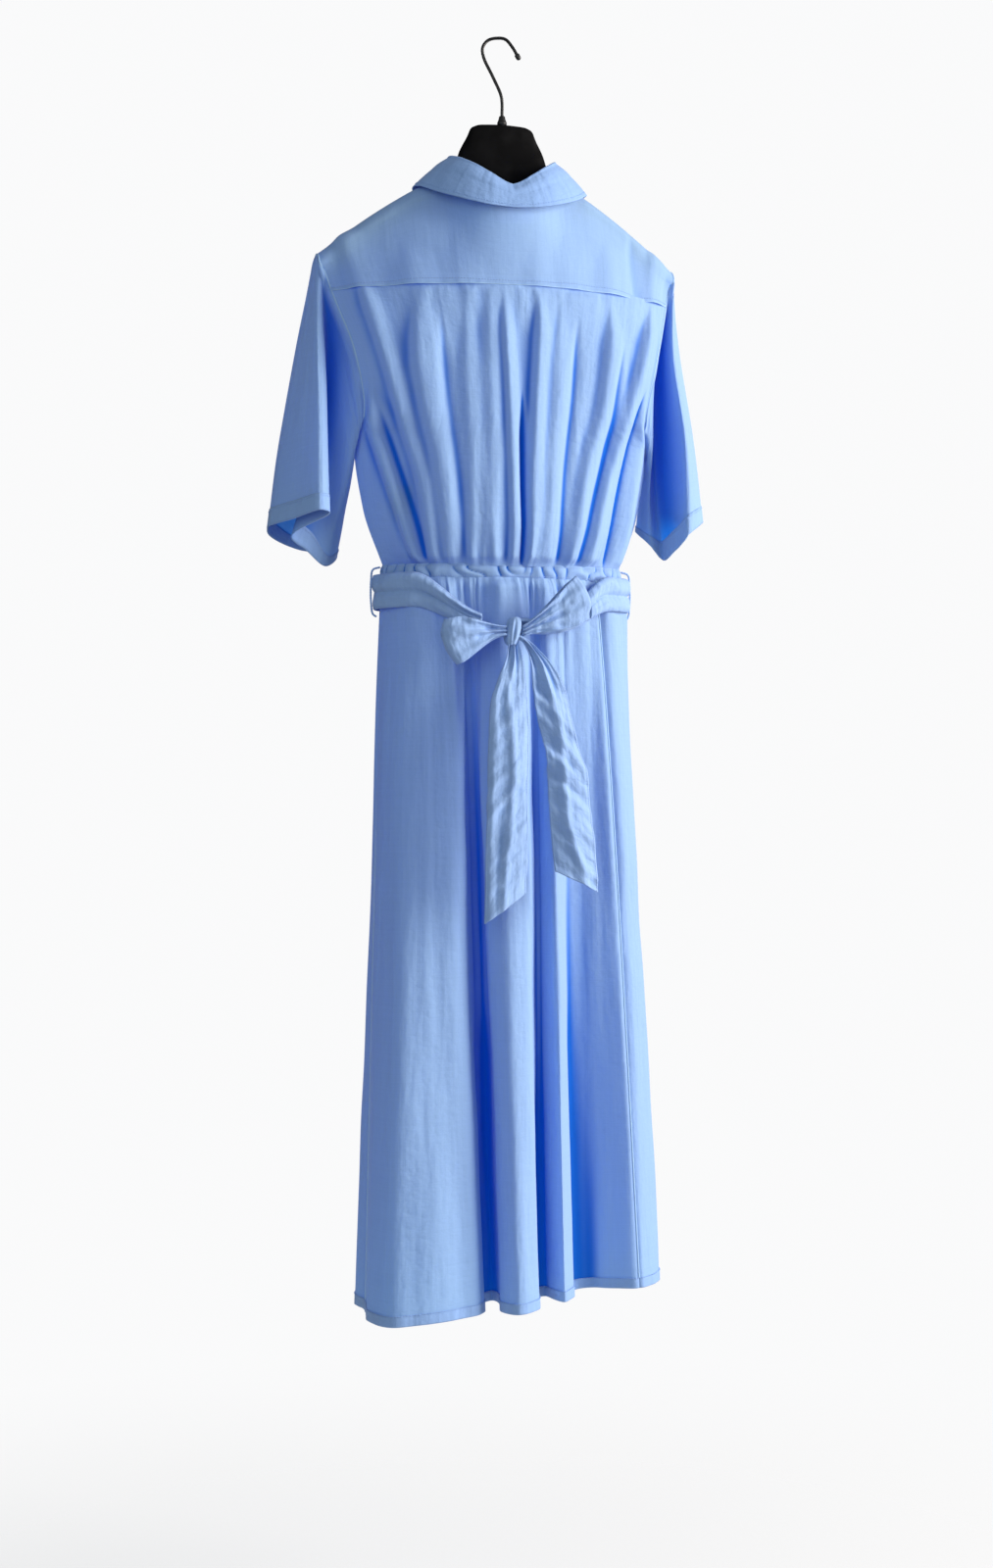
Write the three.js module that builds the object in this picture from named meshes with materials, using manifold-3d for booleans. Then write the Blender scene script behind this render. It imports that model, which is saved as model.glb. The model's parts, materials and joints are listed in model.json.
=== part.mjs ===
// A short-sleeved, shirt-collared gown with an elastic waist and a tie belt, hanging on its hanger.
// Millimetres. The origin is where the hook rests on its rail. +X is the wearer's left, +Y the back, +Z up.
import * as THREE from "three";
import { mergeVertices } from "three/addons/utils/BufferGeometryUtils.js";
import Module from "manifold-3d";

const wasm = await Module();
wasm.setup();

// ---------- driving dimensions ----------

// Cloth stand-ins
const CLOTH = 2.0; // wall of a cloth panel
const HEM_CLOTH = 2.8; // wall of a turned and stitched hem
const SEAM_GAP = 1.0; // between two panels that meet at a seam
const LAYER_GAP = 0.8; // between two layers that lie on each other

// Hook and hanger
const WIRE_R = 1.8;
const RUNNING_GAP = 0.3; // round the turning shank
const HOOK_RISE = 62; // from the rail seat down to the straight shank
const HOOK_BULGE = 22; // how far the loop leans to the wearer's left
const HOOK_TIP_REACH = 19; // how far the open end reaches to the wearer's right
const HANGER_TOP_Z = -94;
const HANGER_PLATE_HALF = 39; // half width of the flat neck plate
const HANGER_PLATE_THICK = 11;
const HANGER_ARM_THICK = 20; // at the shoulder ends
const HANGER_ARM_HEIGHT = 30;
const HANGER_SWEEP = 20; // how far the arm ends curve to the front
const BUSH_HEIGHT = 10; // part of the bush that stands above the plate
const BUSH_SPIGOT_R = 4.2;
const BUSH_SPIGOT_LENGTH = 14;
const SHANK_HEAD_R = 3.4;
const SHANK_HEAD_HEIGHT = 3;

// Neck and collar
const NECK_HALF = 62;
const NECK_DEPTH = 52; // front to back, half
const NECK_MID_Y = -4;
const NECK_BACK_Z = -178;
const NECK_SIDE_Z = -150;
const NECK_FRONT_Z = -208;
const STAND_HEIGHT = 22;
const LEAF_DROP_BACK = 25;
const LEAF_SPREAD = 35; // how far the leaf reaches past the neck at the sides
const COLLAR_POINT = 62; // length of the collar's points at the front
const COLLAR_FRONT_GAP_DEG = 9;

// Bodice
const SHOULDER_HALF = 203;
const SHOULDER_Z = -242;
const SHOULDER_ROLL_R = 16; // radius of the cloth over the hanger's arm
const SHOULDER_SEAM_FORWARD_DEG = 55; // how far round the roll the yoke comes to the front
const UNDERARM_Z = -450;
const UNDERARM_HALF = 166;
const ARMHOLE_HALF_BACK = 159; // narrowest half width between the armholes
const ARMHOLE_HALF_FRONT = 151;
const YOKE_SEAM_Z = -280;
const WAIST_Z = -590;
const WAIST_HALF = 134;
const WAIST_DEPTH = 58; // front to back, half
const CASING_HEIGHT = 12;
const PLACKET_WIDTH = 30;

// Sleeves
const SLEEVE_LENGTH = 300; // outer edge, from the shoulder point to the hem
const SLEEVE_HEM_HALF_WIDTH = 34;
const SLEEVE_HEM_HALF_DEPTH = 58;
const SLEEVE_HEM_DEPTH = 22;
const SLEEVE_FLARE_LEFT = 26; // how far the hem's middle stands outside the shoulder point
const SLEEVE_FLARE_RIGHT = 8;
const SLEEVE_SIDE_GAP = 43; // least distance from the waist's side to a sleeve's hem
const SLEEVE_START_GAP = 10; // from the armhole, along the sleeve, to where its own cloth starts

// Skirt
const SKIRT_LENGTH = 796;
const HEM_TILT = 0.07; // the skirt hangs lower on the wearer's left
const SKIRT_HEM_DEPTH = 12;

// Belt and bow
const BELT_WIDTH = 40;
const BELT_STAND_OFF = 11; // centre of the belt outside the waist
const KNOT = new THREE.Vector3(12, 88, -657);
const KNOT_HALF = new THREE.Vector3(10, 9, 15);
const BOW_LOOP_LENGTH = 92;
const BOW_LOOP_WIDTH = 40;
const TAIL_WIDTH = 46;
const TAIL_LEFT_LENGTH = 280;
const TAIL_RIGHT_LENGTH = 252;
const TAIL_HINGE_GAP = 4;
const TAIL_CLOTH = 2.6;
const TAIL_GATHER = 0.34; // a tail's share of its width where it leaves the knot

// Buttons
const BUTTON_R = 5.8;
const BUTTON_THICK = 2.4;
const BUTTON_HOLE_R = 0.9;
const BODICE_BUTTONS = 5;
const SKIRT_BUTTONS = 6;
const BUTTON_PITCH = 76;

// ---------- materials ----------

const CLOTH_BLUE = { color: 0x8fb6ea, roughness: 0.85, metalness: 0 };
const HEM_BLUE = { color: 0x84abe2, roughness: 0.85, metalness: 0 };
const HANGER_BLACK = { color: 0x0b0b0c, roughness: 0.75, metalness: 0 };
const HOOK_BLACK = { color: 0x141416, roughness: 0.4, metalness: 0.9 };
const ELASTIC_WHITE = { color: 0xe9ecf2, roughness: 0.9, metalness: 0 };
const BUTTON_PEARL = { color: 0xc9daf2, roughness: 0.25, metalness: 0 };
const LABEL_WHITE = { color: 0xf3f4f6, roughness: 0.8, metalness: 0 };

const gown = new THREE.Group();

/** Adds one named sub-part. */
function add(name, geometry, finish) {
  const mesh = new THREE.Mesh(geometry, new THREE.MeshStandardMaterial(finish));
  mesh.name = name;
  gown.add(mesh);
  return mesh;
}

// ---------- helpers ----------

const mix = THREE.MathUtils.lerp;
const clamp = THREE.MathUtils.clamp;
const rad = THREE.MathUtils.degToRad;
const vec = (x, y, z) => new THREE.Vector3(x, y, z);
const smooth = (t) => t * t * (3 - 2 * t);

/** A smooth function through [input, value] pairs that never overshoots them, held at its ends. */
function through(pairs) {
  const points = [...pairs].sort((a, b) => a[0] - b[0]);
  const chord = (i) => (points[i + 1][1] - points[i][1]) / (points[i + 1][0] - points[i][0]);
  const slope = (i) => {
    if (i === 0) return chord(0);
    if (i === points.length - 1) return chord(i - 1);
    const [before, after] = [chord(i - 1), chord(i)];
    return before * after <= 0 ? 0 : (2 * before * after) / (before + after);
  };
  return (input) => {
    if (input <= points[0][0]) return points[0][1];
    if (input >= points.at(-1)[0]) return points.at(-1)[1];
    const i = points.findIndex((p) => p[0] > input) - 1;
    const [[x0, y0], [x1, y1]] = [points[i], points[i + 1]];
    const h = x1 - x0;
    const t = (input - x0) / h;
    const t2 = t * t;
    const t3 = t2 * t;
    const held = (2 * t3 - 3 * t2 + 1) * y0 + (3 * t2 - 2 * t3) * y1;
    return held + (t3 - 2 * t2 + t) * h * slope(i) + (t3 - t2) * h * slope(i + 1);
  };
}

/** A geometry from a vertex list and triangles, turned so that its faces point out. */
function closedGeometry(vertices, triangles) {
  let volume = 0;
  for (const [a, b, c] of triangles) {
    volume += vertices[a].dot(vec().crossVectors(vertices[b], vertices[c]));
  }
  const index = triangles.flatMap(([a, b, c]) => (volume < 0 ? [a, c, b] : [a, b, c]));
  const geometry = new THREE.BufferGeometry();
  geometry.setFromPoints(vertices);
  geometry.setIndex(index);
  return geometry;
}

/** The two triangles of a quad. */
const quad = (a, b, c, d) => [
  [a, b, c],
  [a, c, d],
];

/**
 * A sheet of cloth with a wall: pointAt(u, v) gives its middle surface, u and v from 0 to 1.
 * A closed sheet joins u = 1 to u = 0, as a tube does.
 */
function thickSheet(pointAt, columns, rows, wall, closed = false) {
  const step = 1e-3;
  const across = closed ? columns : columns + 1;
  const wrap = (u) => (closed ? ((u % 1) + 1) % 1 : clamp(u, 0, 1));
  const outer = [];
  const inner = [];
  for (let j = 0; j <= rows; j++) {
    for (let i = 0; i < across; i++) {
      const u = i / columns;
      const v = j / rows;
      const alongU = pointAt(wrap(u + step), v).sub(pointAt(wrap(u - step), v));
      const alongV = pointAt(u, clamp(v + step, 0, 1)).sub(pointAt(u, clamp(v - step, 0, 1)));
      const normal = alongU.cross(alongV).normalize().multiplyScalar(wall / 2);
      outer.push(pointAt(u, v).add(normal));
      inner.push(pointAt(u, v).sub(normal));
    }
  }
  const front = (i, j) => j * across + (closed ? i % across : i);
  const back = (i, j) => outer.length + front(i, j);
  const triangles = [];
  for (let j = 0; j < rows; j++) {
    for (let i = 0; i < columns; i++) {
      triangles.push(...quad(front(i, j), front(i + 1, j), front(i + 1, j + 1), front(i, j + 1)));
      triangles.push(...quad(back(i, j), back(i, j + 1), back(i + 1, j + 1), back(i + 1, j)));
    }
  }
  for (let i = 0; i < columns; i++) {
    triangles.push(...quad(front(i, 0), back(i, 0), back(i + 1, 0), front(i + 1, 0)));
    triangles.push(...quad(front(i, rows), front(i + 1, rows), back(i + 1, rows), back(i, rows)));
  }
  for (let j = 0; j < rows && !closed; j++) {
    triangles.push(...quad(front(0, j), front(0, j + 1), back(0, j + 1), back(0, j)));
    triangles.push(
      ...quad(front(columns, j), back(columns, j), back(columns, j + 1), front(columns, j + 1)),
    );
  }
  return closedGeometry([...outer, ...inner], triangles);
}

/** A solid through closed rings of equal length, with a flat cap at each end. */
function loft(rings) {
  const count = rings[0].length;
  const vertices = rings.flat();
  const triangles = [];
  for (let k = 0; k < rings.length - 1; k++) {
    for (let i = 0; i < count; i++) {
      const next = (i + 1) % count;
      const row = k * count;
      triangles.push(...quad(row + i, row + next, row + count + next, row + count + i));
    }
  }
  const centre = (ring) =>
    ring.reduce((sum, p) => sum.add(p), vec()).multiplyScalar(1 / ring.length);
  const first = vertices.push(centre(rings[0])) - 1;
  const last = vertices.push(centre(rings.at(-1))) - 1;
  const lastRow = (rings.length - 1) * count;
  for (let i = 0; i < count; i++) {
    const next = (i + 1) % count;
    triangles.push([first, next, i]);
    triangles.push([last, lastRow + i, lastRow + next]);
  }
  return closedGeometry(vertices, triangles);
}

/** A lathe about Z: profile points are [radius, z], in order round the closed section. */
function turned(profile, segments = 24) {
  const points = profile.map(([r, z]) => new THREE.Vector2(r, z));
  const geometry = new THREE.LatheGeometry([...points, points[0]], segments);
  return geometry.rotateX(Math.PI / 2);
}

/** A round bar along a curve; sides counts half of its section's corners. */
function bar(curve, radius, steps, sides = 6) {
  const section = new THREE.Shape().absarc(0, 0, radius, 0, 2 * Math.PI);
  return new THREE.ExtrudeGeometry(section, {
    steps,
    curveSegments: sides,
    bevelEnabled: false,
    extrudePath: curve,
  });
}

/** A three.js geometry as a manifold-3d solid. */
function toSolid(geometry) {
  const plain = geometry.clone();
  plain.deleteAttribute("normal");
  plain.deleteAttribute("uv");
  const merged = mergeVertices(plain, 1e-4);
  return new wasm.Manifold(
    new wasm.Mesh({
      numProp: 3,
      vertProperties: merged.attributes.position.array,
      triVerts: new Uint32Array(merged.index.array),
    }),
  );
}

/** A manifold-3d solid as a three.js geometry. */
function fromSolid(solid) {
  const mesh = solid.getMesh();
  const geometry = new THREE.BufferGeometry();
  geometry.setAttribute("position", new THREE.BufferAttribute(mesh.vertProperties, 3));
  geometry.setIndex(new THREE.BufferAttribute(mesh.triVerts, 1));
  return geometry;
}

// ---------- hook and hanger ----------

const shankTopZ = -HOOK_RISE;
const bushTopZ = HANGER_TOP_Z + BUSH_HEIGHT;
const spigotEndZ = HANGER_TOP_Z - BUSH_SPIGOT_LENGTH;
const shankHeadTopZ = spigotEndZ - 2 * RUNNING_GAP;
const shankEndZ = shankHeadTopZ - SHANK_HEAD_HEIGHT;

/** The hook's centre line, from the end of its shank to its open tip. */
const hookLine = new THREE.CatmullRomCurve3([
  vec(0, 0, shankHeadTopZ - SHANK_HEAD_HEIGHT / 2),
  vec(0, 0, mix(shankHeadTopZ, shankTopZ, 0.5)),
  vec(0, 0, shankTopZ - 6),
  vec(1.5, 0, shankTopZ + 2),
  vec(HOOK_BULGE * 0.48, 0, shankTopZ * 0.66),
  vec(HOOK_BULGE * 0.95, 0, shankTopZ * 0.33),
  vec(HOOK_BULGE, 0, shankTopZ * 0.16),
  vec(HOOK_BULGE * 0.72, 0, -1.5),
  vec(HOOK_BULGE * 0.22, 0, WIRE_R - 0.1),
  vec(-HOOK_BULGE * 0.18, 0, WIRE_R - 0.9),
  vec(-HOOK_TIP_REACH * 0.62, 0, -7),
  vec(-HOOK_TIP_REACH, 0, -19),
]);

function hookWire() {
  const wire = toSolid(bar(hookLine, WIRE_R, 34));
  const head = turned([
    [0, shankEndZ],
    [SHANK_HEAD_R, shankEndZ],
    [SHANK_HEAD_R, shankHeadTopZ],
    [0, shankHeadTopZ],
  ]);
  return fromSolid(wire.add(toSolid(head)));
}

/** The soft cap pressed over the hook's open end. */
function hookTip() {
  const reach = 5;
  const boreR = WIRE_R + 0.3;
  const wallR = WIRE_R + 1.0;
  const bore = -reach + 0.6;
  const cap = turned([
    [0, 0.3],
    [boreR, 0.3],
    [boreR, bore],
    [wallR, bore],
    [wallR, 0.8],
    [wallR * 0.6, 2.0],
    [0, 2.4],
  ], 16);
  const tip = hookLine.getPoint(1);
  const turn = new THREE.Quaternion().setFromUnitVectors(vec(0, 0, 1), hookLine.getTangent(1));
  return cap.applyQuaternion(turn).translate(tip.x, tip.y, tip.z);
}

/** The bush that the shank turns in: a cone above the plate and a spigot in its bore. */
function swivelBush() {
  const boreR = WIRE_R + RUNNING_GAP;
  return turned([
    [boreR, spigotEndZ],
    [BUSH_SPIGOT_R, spigotEndZ],
    [BUSH_SPIGOT_R, HANGER_TOP_Z + 0.3],
    [BUSH_SPIGOT_R + 1, HANGER_TOP_Z + 0.3],
    [BUSH_SPIGOT_R + 1, HANGER_TOP_Z + 3.5],
    [BUSH_SPIGOT_R - 0.6, HANGER_TOP_Z + 5],
    [boreR + 1.1, bushTopZ],
    [boreR, bushTopZ],
  ]);
}

// Height and sweep of the shoulder line, against the distance from the middle.
const ridgeZ = through([
  [NECK_HALF, NECK_SIDE_Z],
  [mix(NECK_HALF, SHOULDER_HALF, 0.24), mix(NECK_SIDE_Z, SHOULDER_Z, 0.19)],
  [mix(NECK_HALF, SHOULDER_HALF, 0.62), mix(NECK_SIDE_Z, SHOULDER_Z, 0.56)],
  [SHOULDER_HALF, SHOULDER_Z],
]);
const ridgeY = through([
  [NECK_HALF, NECK_MID_Y],
  [SHOULDER_HALF, -HANGER_SWEEP - 4],
]);

const UNDER_CLOTH = CLOTH / 2 + 1.2; // from the cloth's middle down to the arm that carries it

/** Top edge of the hanger: the neck plate, its flare, and the arms that carry the shoulders. */
const plateCornerZ = HANGER_TOP_Z - 14;
const hangerTop = through([
  [0, HANGER_TOP_Z],
  [HANGER_PLATE_HALF * 0.62, HANGER_TOP_Z - 0.6],
  [HANGER_PLATE_HALF * 0.88, HANGER_TOP_Z - 4],
  [HANGER_PLATE_HALF, plateCornerZ],
  [mix(HANGER_PLATE_HALF, NECK_HALF, 0.35), mix(plateCornerZ, NECK_SIDE_Z, 0.36)],
  [NECK_HALF, ridgeZ(NECK_HALF) - UNDER_CLOTH - 12],
  [NECK_HALF + 18, ridgeZ(NECK_HALF + 18) - UNDER_CLOTH - 6],
  [mix(NECK_HALF, SHOULDER_HALF, 0.5), ridgeZ(mix(NECK_HALF, SHOULDER_HALF, 0.5)) - UNDER_CLOTH - 1.5],
  [SHOULDER_HALF - 12, ridgeZ(SHOULDER_HALF - 12) - UNDER_CLOTH],
]);
const hangerBottom = through([
  [0, NECK_BACK_Z - 6],
  [NECK_HALF, NECK_BACK_Z - 10],
  [SHOULDER_HALF - 12, ridgeZ(SHOULDER_HALF - 12) - UNDER_CLOTH - HANGER_ARM_HEIGHT],
]);

function hangerBody() {
  const end = SHOULDER_HALF - 12;
  const armStart = NECK_HALF - 2;
  const stations = [0, 0.13, 0.24, 0.31, 0.36, 0.4, 0.45, 0.52, 0.62, 0.74, 0.86, 0.95, 1];
  const half = stations.map((t) => (t < 0.5 ? (t / 0.4) * HANGER_PLATE_HALF : mix(armStart, end, (t - 0.5) / 0.5)));
  const places = [...half.slice(1).reverse().map((x) => -x), ...half];
  const cornerCount = 16;
  const rings = places.map((x) => {
    const share = Math.abs(x) / end;
    const round = Math.sqrt(clamp((1.02 - share) / 0.1, 0.15, 1)); // the arm's rounded end
    const high = hangerTop(Math.abs(x));
    const low = hangerBottom(Math.abs(x));
    const middle = (high + low) / 2;
    const halfHeight = ((high - low) / 2) * round;
    const halfThick = (mix(HANGER_PLATE_THICK, HANGER_ARM_THICK, share ** 2) / 2) * round;
    const sweep = ridgeY(Math.abs(x)) * smooth(clamp(Math.abs(x) / NECK_HALF, 0, 1));
    const corner = mix(0.6, 1, smooth(clamp(Math.abs(x) / NECK_HALF, 0, 1)));
    return Array.from({ length: cornerCount }, (_, k) => {
      const angle = (2 * Math.PI * k) / cornerCount;
      const squared = (value) => Math.sign(value) * Math.abs(value) ** corner;
      return vec(
        x,
        sweep + halfThick * squared(Math.cos(angle)),
        middle + halfHeight * squared(Math.sin(angle)),
      );
    });
  });
  const body = toSolid(loft(rings));
  const boreR = BUSH_SPIGOT_R + 0.3;
  const bore = turned([
    [0, shankEndZ - 4],
    [boreR, shankEndZ - 4],
    [boreR, HANGER_TOP_Z + 5],
    [0, HANGER_TOP_Z + 5],
  ]);
  return fromSolid(body.subtract(toSolid(bore)));
}

add("hook_wire", hookWire(), HOOK_BLACK);
add("hook_tip_cap", hookTip(), HANGER_BLACK);
add("swivel_bush", swivelBush(), HANGER_BLACK);
add("hanger_body", hangerBody(), HANGER_BLACK);

// ---------- bodice ----------

// Each side of the bodice is measured at its seam with the sleeve or the other side, and at its middle.
const armholeZ = (share) => mix(SHOULDER_Z, UNDERARM_Z, share);
const waistTopZ = WAIST_Z + CASING_HEIGHT / 2;
const SIDE_SEAM_Y = -2;
const BACK = {
  sign: 1,
  seamX: through([
    [SHOULDER_Z, SHOULDER_HALF],
    [armholeZ(0.28), mix(ARMHOLE_HALF_BACK, SHOULDER_HALF, 0.62)],
    [armholeZ(0.55), mix(ARMHOLE_HALF_BACK, SHOULDER_HALF, 0.25)],
    [armholeZ(0.85), ARMHOLE_HALF_BACK],
    [UNDERARM_Z, UNDERARM_HALF],
    [mix(UNDERARM_Z, WAIST_Z, 0.5), mix(UNDERARM_HALF, WAIST_HALF, 0.3)],
    [waistTopZ, WAIST_HALF],
  ]),
  seamY: through([
    [SHOULDER_Z, -HANGER_SWEEP - 4],
    [armholeZ(0.28), 6],
    [armholeZ(0.6), 26],
    [armholeZ(0.85), 20],
    [UNDERARM_Z, SIDE_SEAM_Y],
    [waistTopZ, 0],
  ]),
  middleY: through([
    [NECK_BACK_Z, NECK_MID_Y + NECK_DEPTH],
    [YOKE_SEAM_Z, 58],
    [UNDERARM_Z, 68],
    [mix(UNDERARM_Z, WAIST_Z, 0.6), 70],
    [waistTopZ, WAIST_DEPTH],
  ]),
};
const FRONT = {
  sign: -1,
  seamX: through([
    [SHOULDER_Z, SHOULDER_HALF],
    [armholeZ(0.28), mix(ARMHOLE_HALF_FRONT, SHOULDER_HALF, 0.56)],
    [armholeZ(0.55), mix(ARMHOLE_HALF_FRONT, SHOULDER_HALF, 0.2)],
    [armholeZ(0.85), ARMHOLE_HALF_FRONT + 3],
    [UNDERARM_Z, UNDERARM_HALF],
    [mix(UNDERARM_Z, WAIST_Z, 0.5), mix(UNDERARM_HALF, WAIST_HALF, 0.3)],
    [waistTopZ, WAIST_HALF],
  ]),
  seamY: through([
    [SHOULDER_Z, -HANGER_SWEEP - 4],
    [armholeZ(0.28), -36],
    [armholeZ(0.6), -44],
    [armholeZ(0.85), -30],
    [UNDERARM_Z, SIDE_SEAM_Y],
    [waistTopZ, 0],
  ]),
  middleY: through([
    [NECK_FRONT_Z, NECK_MID_Y - NECK_DEPTH],
    [armholeZ(0.5), -70],
    [UNDERARM_Z, -74],
    [mix(UNDERARM_Z, WAIST_Z, 0.6), -73],
    [waistTopZ, -WAIST_DEPTH],
  ]),
};

/** Height of the neckline at x, on the back or the front. */
function necklineAt(side, x) {
  const share = Math.sqrt(1 - clamp(x / NECK_HALF, -1, 1) ** 2);
  const middleZ = side === BACK ? NECK_BACK_Z : NECK_FRONT_Z;
  return { y: NECK_MID_Y + side.sign * NECK_DEPTH * share, z: mix(NECK_SIDE_Z, middleZ, share ** 1.4) };
}

/** Where a panel's column starts at the top: on the neckline, or on the ridge of the shoulder. */
function topAt(side, x) {
  const distance = Math.abs(x);
  if (distance < NECK_HALF) return { ...necklineAt(side, x), roll: 0 };
  const roll = mix(5, SHOULDER_ROLL_R, smooth(clamp((distance - NECK_HALF) / 20, 0, 1)));
  return { y: ridgeY(distance), z: ridgeZ(distance), roll };
}

/** The half width of a side at height z; the shoulder's width above the shoulder point. */
const halfWidth = (side, z) => (z > SHOULDER_Z ? SHOULDER_HALF : side.seamX(z));

/** The panel's y at x and z, below its top edge. */
function panelY(side, x, z) {
  const top = topAt(side, x);
  const lowerZ = Math.min(z, SHOULDER_Z);
  const seamY = side.seamY(lowerZ);
  const across = clamp(Math.abs(x) / halfWidth(side, z), 0, 1);
  const bodyY = seamY + (side.middleY(z) - seamY) * (1 - across ** 2.2) ** 0.85;
  const blendEnd = SHOULDER_Z - 90;
  const share = clamp((top.z - top.roll - z) / (top.z - top.roll - blendEnd), 0, 1);
  return mix(top.y + side.sign * top.roll, bodyY, 1 - (1 - share) ** 2);
}

/**
 * A point on a panel. across runs over the side's half widths, from -1 to 1, and t from the top
 * edge to endZ. wrapAngle is how far over the shoulder's ridge the panel starts.
 */
function panelPoint(side, across, t, startZ, endZ, wrapAngle, inset = 0) {
  const topX = across * SHOULDER_HALF;
  const top = topAt(side, topX);
  const fromTop = startZ === undefined;
  const arc = fromTop ? top.roll * (wrapAngle + Math.PI / 2) : 0;
  const straightTop = fromTop ? top.z - top.roll : startZ;
  const along = inset + t * (arc + straightTop - endZ - inset);
  if (along < arc) {
    const angle = along / top.roll - wrapAngle;
    return vec(
      topX,
      top.y + side.sign * top.roll * Math.sin(angle),
      top.z - top.roll * (1 - Math.cos(angle)),
    );
  }
  const z = straightTop - (along - arc);
  const x = across * halfWidth(side, z);
  return vec(x, panelY(side, x, z), z);
}

const edgeInset = SEAM_GAP / SHOULDER_HALF;
const forwardSeam = rad(SHOULDER_SEAM_FORWARD_DEG);
const yokeSeamAt = (across) => YOKE_SEAM_Z - 5 * across ** 2;

add(
  "back_yoke",
  thickSheet(
    (u, v) => {
      const across = mix(-1 + edgeInset, 1 - edgeInset, u);
      return panelPoint(BACK, across, v, undefined, yokeSeamAt(across) + SEAM_GAP / 2, forwardSeam, SEAM_GAP);
    },
    26,
    7,
    CLOTH,
  ),
  CLOTH_BLUE,
);
add(
  "back_bodice",
  thickSheet(
    (u, v) => {
      const across = mix(-1 + edgeInset, 1 - edgeInset, u);
      return panelPoint(BACK, across, v, yokeSeamAt(across) - SEAM_GAP / 2, waistTopZ + SEAM_GAP, 0);
    },
    20,
    11,
    CLOTH,
  ),
  CLOTH_BLUE,
);

const placketHalf = PLACKET_WIDTH / 2;

/** One front: hand is 1 for the wearer's left, -1 for the right. */
function frontBodice(hand) {
  return thickSheet(
    (u, v) => {
      const reach = mix(placketHalf + SEAM_GAP, SHOULDER_HALF - SEAM_GAP, u);
      const point = panelPoint(FRONT, (hand * reach) / SHOULDER_HALF, v, undefined, waistTopZ + SEAM_GAP, -forwardSeam, 2 * SEAM_GAP);
      const edge = halfWidth(FRONT, point.z);
      const scaled = mix(placketHalf + SEAM_GAP, edge - SEAM_GAP, u);
      const onRoll = point.z > SHOULDER_Z;
      return onRoll ? point : vec(hand * scaled, panelY(FRONT, scaled, point.z), point.z);
    },
    12,
    13,
    CLOTH,
  );
}
add("front_bodice_left", frontBodice(1), CLOTH_BLUE);
add("front_bodice_right", frontBodice(-1), CLOTH_BLUE);

/** A front band of the bodice, layer 1 outside and -1 inside the panels' surface. */
function bodiceBand(layer) {
  const offset = (layer * (CLOTH + LAYER_GAP)) / 2;
  return thickSheet(
    (u, v) => {
      const x = mix(-placketHalf, placketHalf, u);
      const z = mix(NECK_FRONT_Z - 4, waistTopZ + SEAM_GAP, v);
      return vec(x, panelY(FRONT, x, z) - offset, z);
    },
    2,
    12,
    CLOTH,
  );
}
add("buttonhole_band", bodiceBand(1), CLOTH_BLUE);
add("button_band", bodiceBand(-1), CLOTH_BLUE);

// ---------- collar ----------

const collarEnd = Math.PI - rad(COLLAR_FRONT_GAP_DEG);

/** The collar's base at an angle from the middle of the back: on the neckline, just above it. */
function collarBase(angle) {
  const side = Math.cos(angle) > 0 ? BACK : FRONT;
  const x = NECK_HALF * Math.sin(angle);
  const { y, z } = necklineAt(side, x);
  return vec(x, y, z + CLOTH + SEAM_GAP);
}

/** The fold line along the top of the collar: it dips at the back, where nothing holds it up. */
function collarFold(angle) {
  const base = collarBase(angle);
  const slump = 6 * Math.max(0, Math.cos(angle)) ** 6;
  return base.multiply(vec(0.93, 0.9, 1)).add(vec(0, 0, STAND_HEIGHT - slump));
}

/** The free lower edge of the wearer's left half of the collar's leaf, from the middle of the back to its point. */
const leafLayer = CLOTH + LAYER_GAP + 3;
const leafSideX = NECK_HALF + LEAF_SPREAD;
const leafBackZ = collarFold(0).z - LEAF_DROP_BACK;
const leafSideZ = ridgeZ(leafSideX) + CLOTH + 5;
const leafFrontX = leafSideX * 0.9;
const leafPointX = NECK_HALF * 0.74;
const leafPointZ = NECK_FRONT_Z - COLLAR_POINT * 0.72;
const halfLeafEdge = new THREE.CatmullRomCurve3([
  vec(0, NECK_MID_Y + NECK_DEPTH + 2 * leafLayer, leafBackZ),
  vec(leafSideX * 0.55, NECK_MID_Y + NECK_DEPTH * 0.84 + 2 * leafLayer, mix(leafBackZ, leafSideZ, 0.3)),
  vec(leafSideX * 0.92, ridgeY(leafSideX) + SHOULDER_ROLL_R + 2 * leafLayer, mix(leafBackZ, leafSideZ, 0.75)),
  vec(leafSideX, ridgeY(leafSideX), leafSideZ),
  vec(leafFrontX, ridgeY(leafFrontX) - SHOULDER_ROLL_R - 2 * leafLayer, ridgeZ(leafFrontX) - 10),
  vec(leafPointX, panelY(FRONT, leafPointX, leafPointZ) - leafLayer - 2, leafPointZ),
]);
function leafEdge(angle) {
  const point = halfLeafEdge.getPoint(Math.min(1, Math.abs(angle) / collarEnd));
  return point.multiply(vec(Math.sign(angle) || 1, 1, 1));
}

add(
  "collar_stand",
  thickSheet(
    (u, v) => {
      const angle = mix(-collarEnd, collarEnd, u);
      return collarBase(angle).lerp(collarFold(angle).add(vec(0, 0, -1.5)), v);
    },
    36,
    2,
    CLOTH * 0.8,
  ),
  CLOTH_BLUE,
);
add(
  "collar_leaf",
  thickSheet(
    (u, v) => {
      const angle = mix(-collarEnd, collarEnd, u);
      const outward = vec(Math.sin(angle), Math.cos(angle), 0).multiplyScalar(CLOTH + LAYER_GAP + 0.6);
      const start = collarFold(angle).add(outward);
      return start.lerp(leafEdge(angle), v).add(outward.multiplyScalar(Math.sin(Math.PI * v)));
    },
    36,
    4,
    CLOTH,
  ),
  CLOTH_BLUE,
);

// ---------- sleeves ----------

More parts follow.
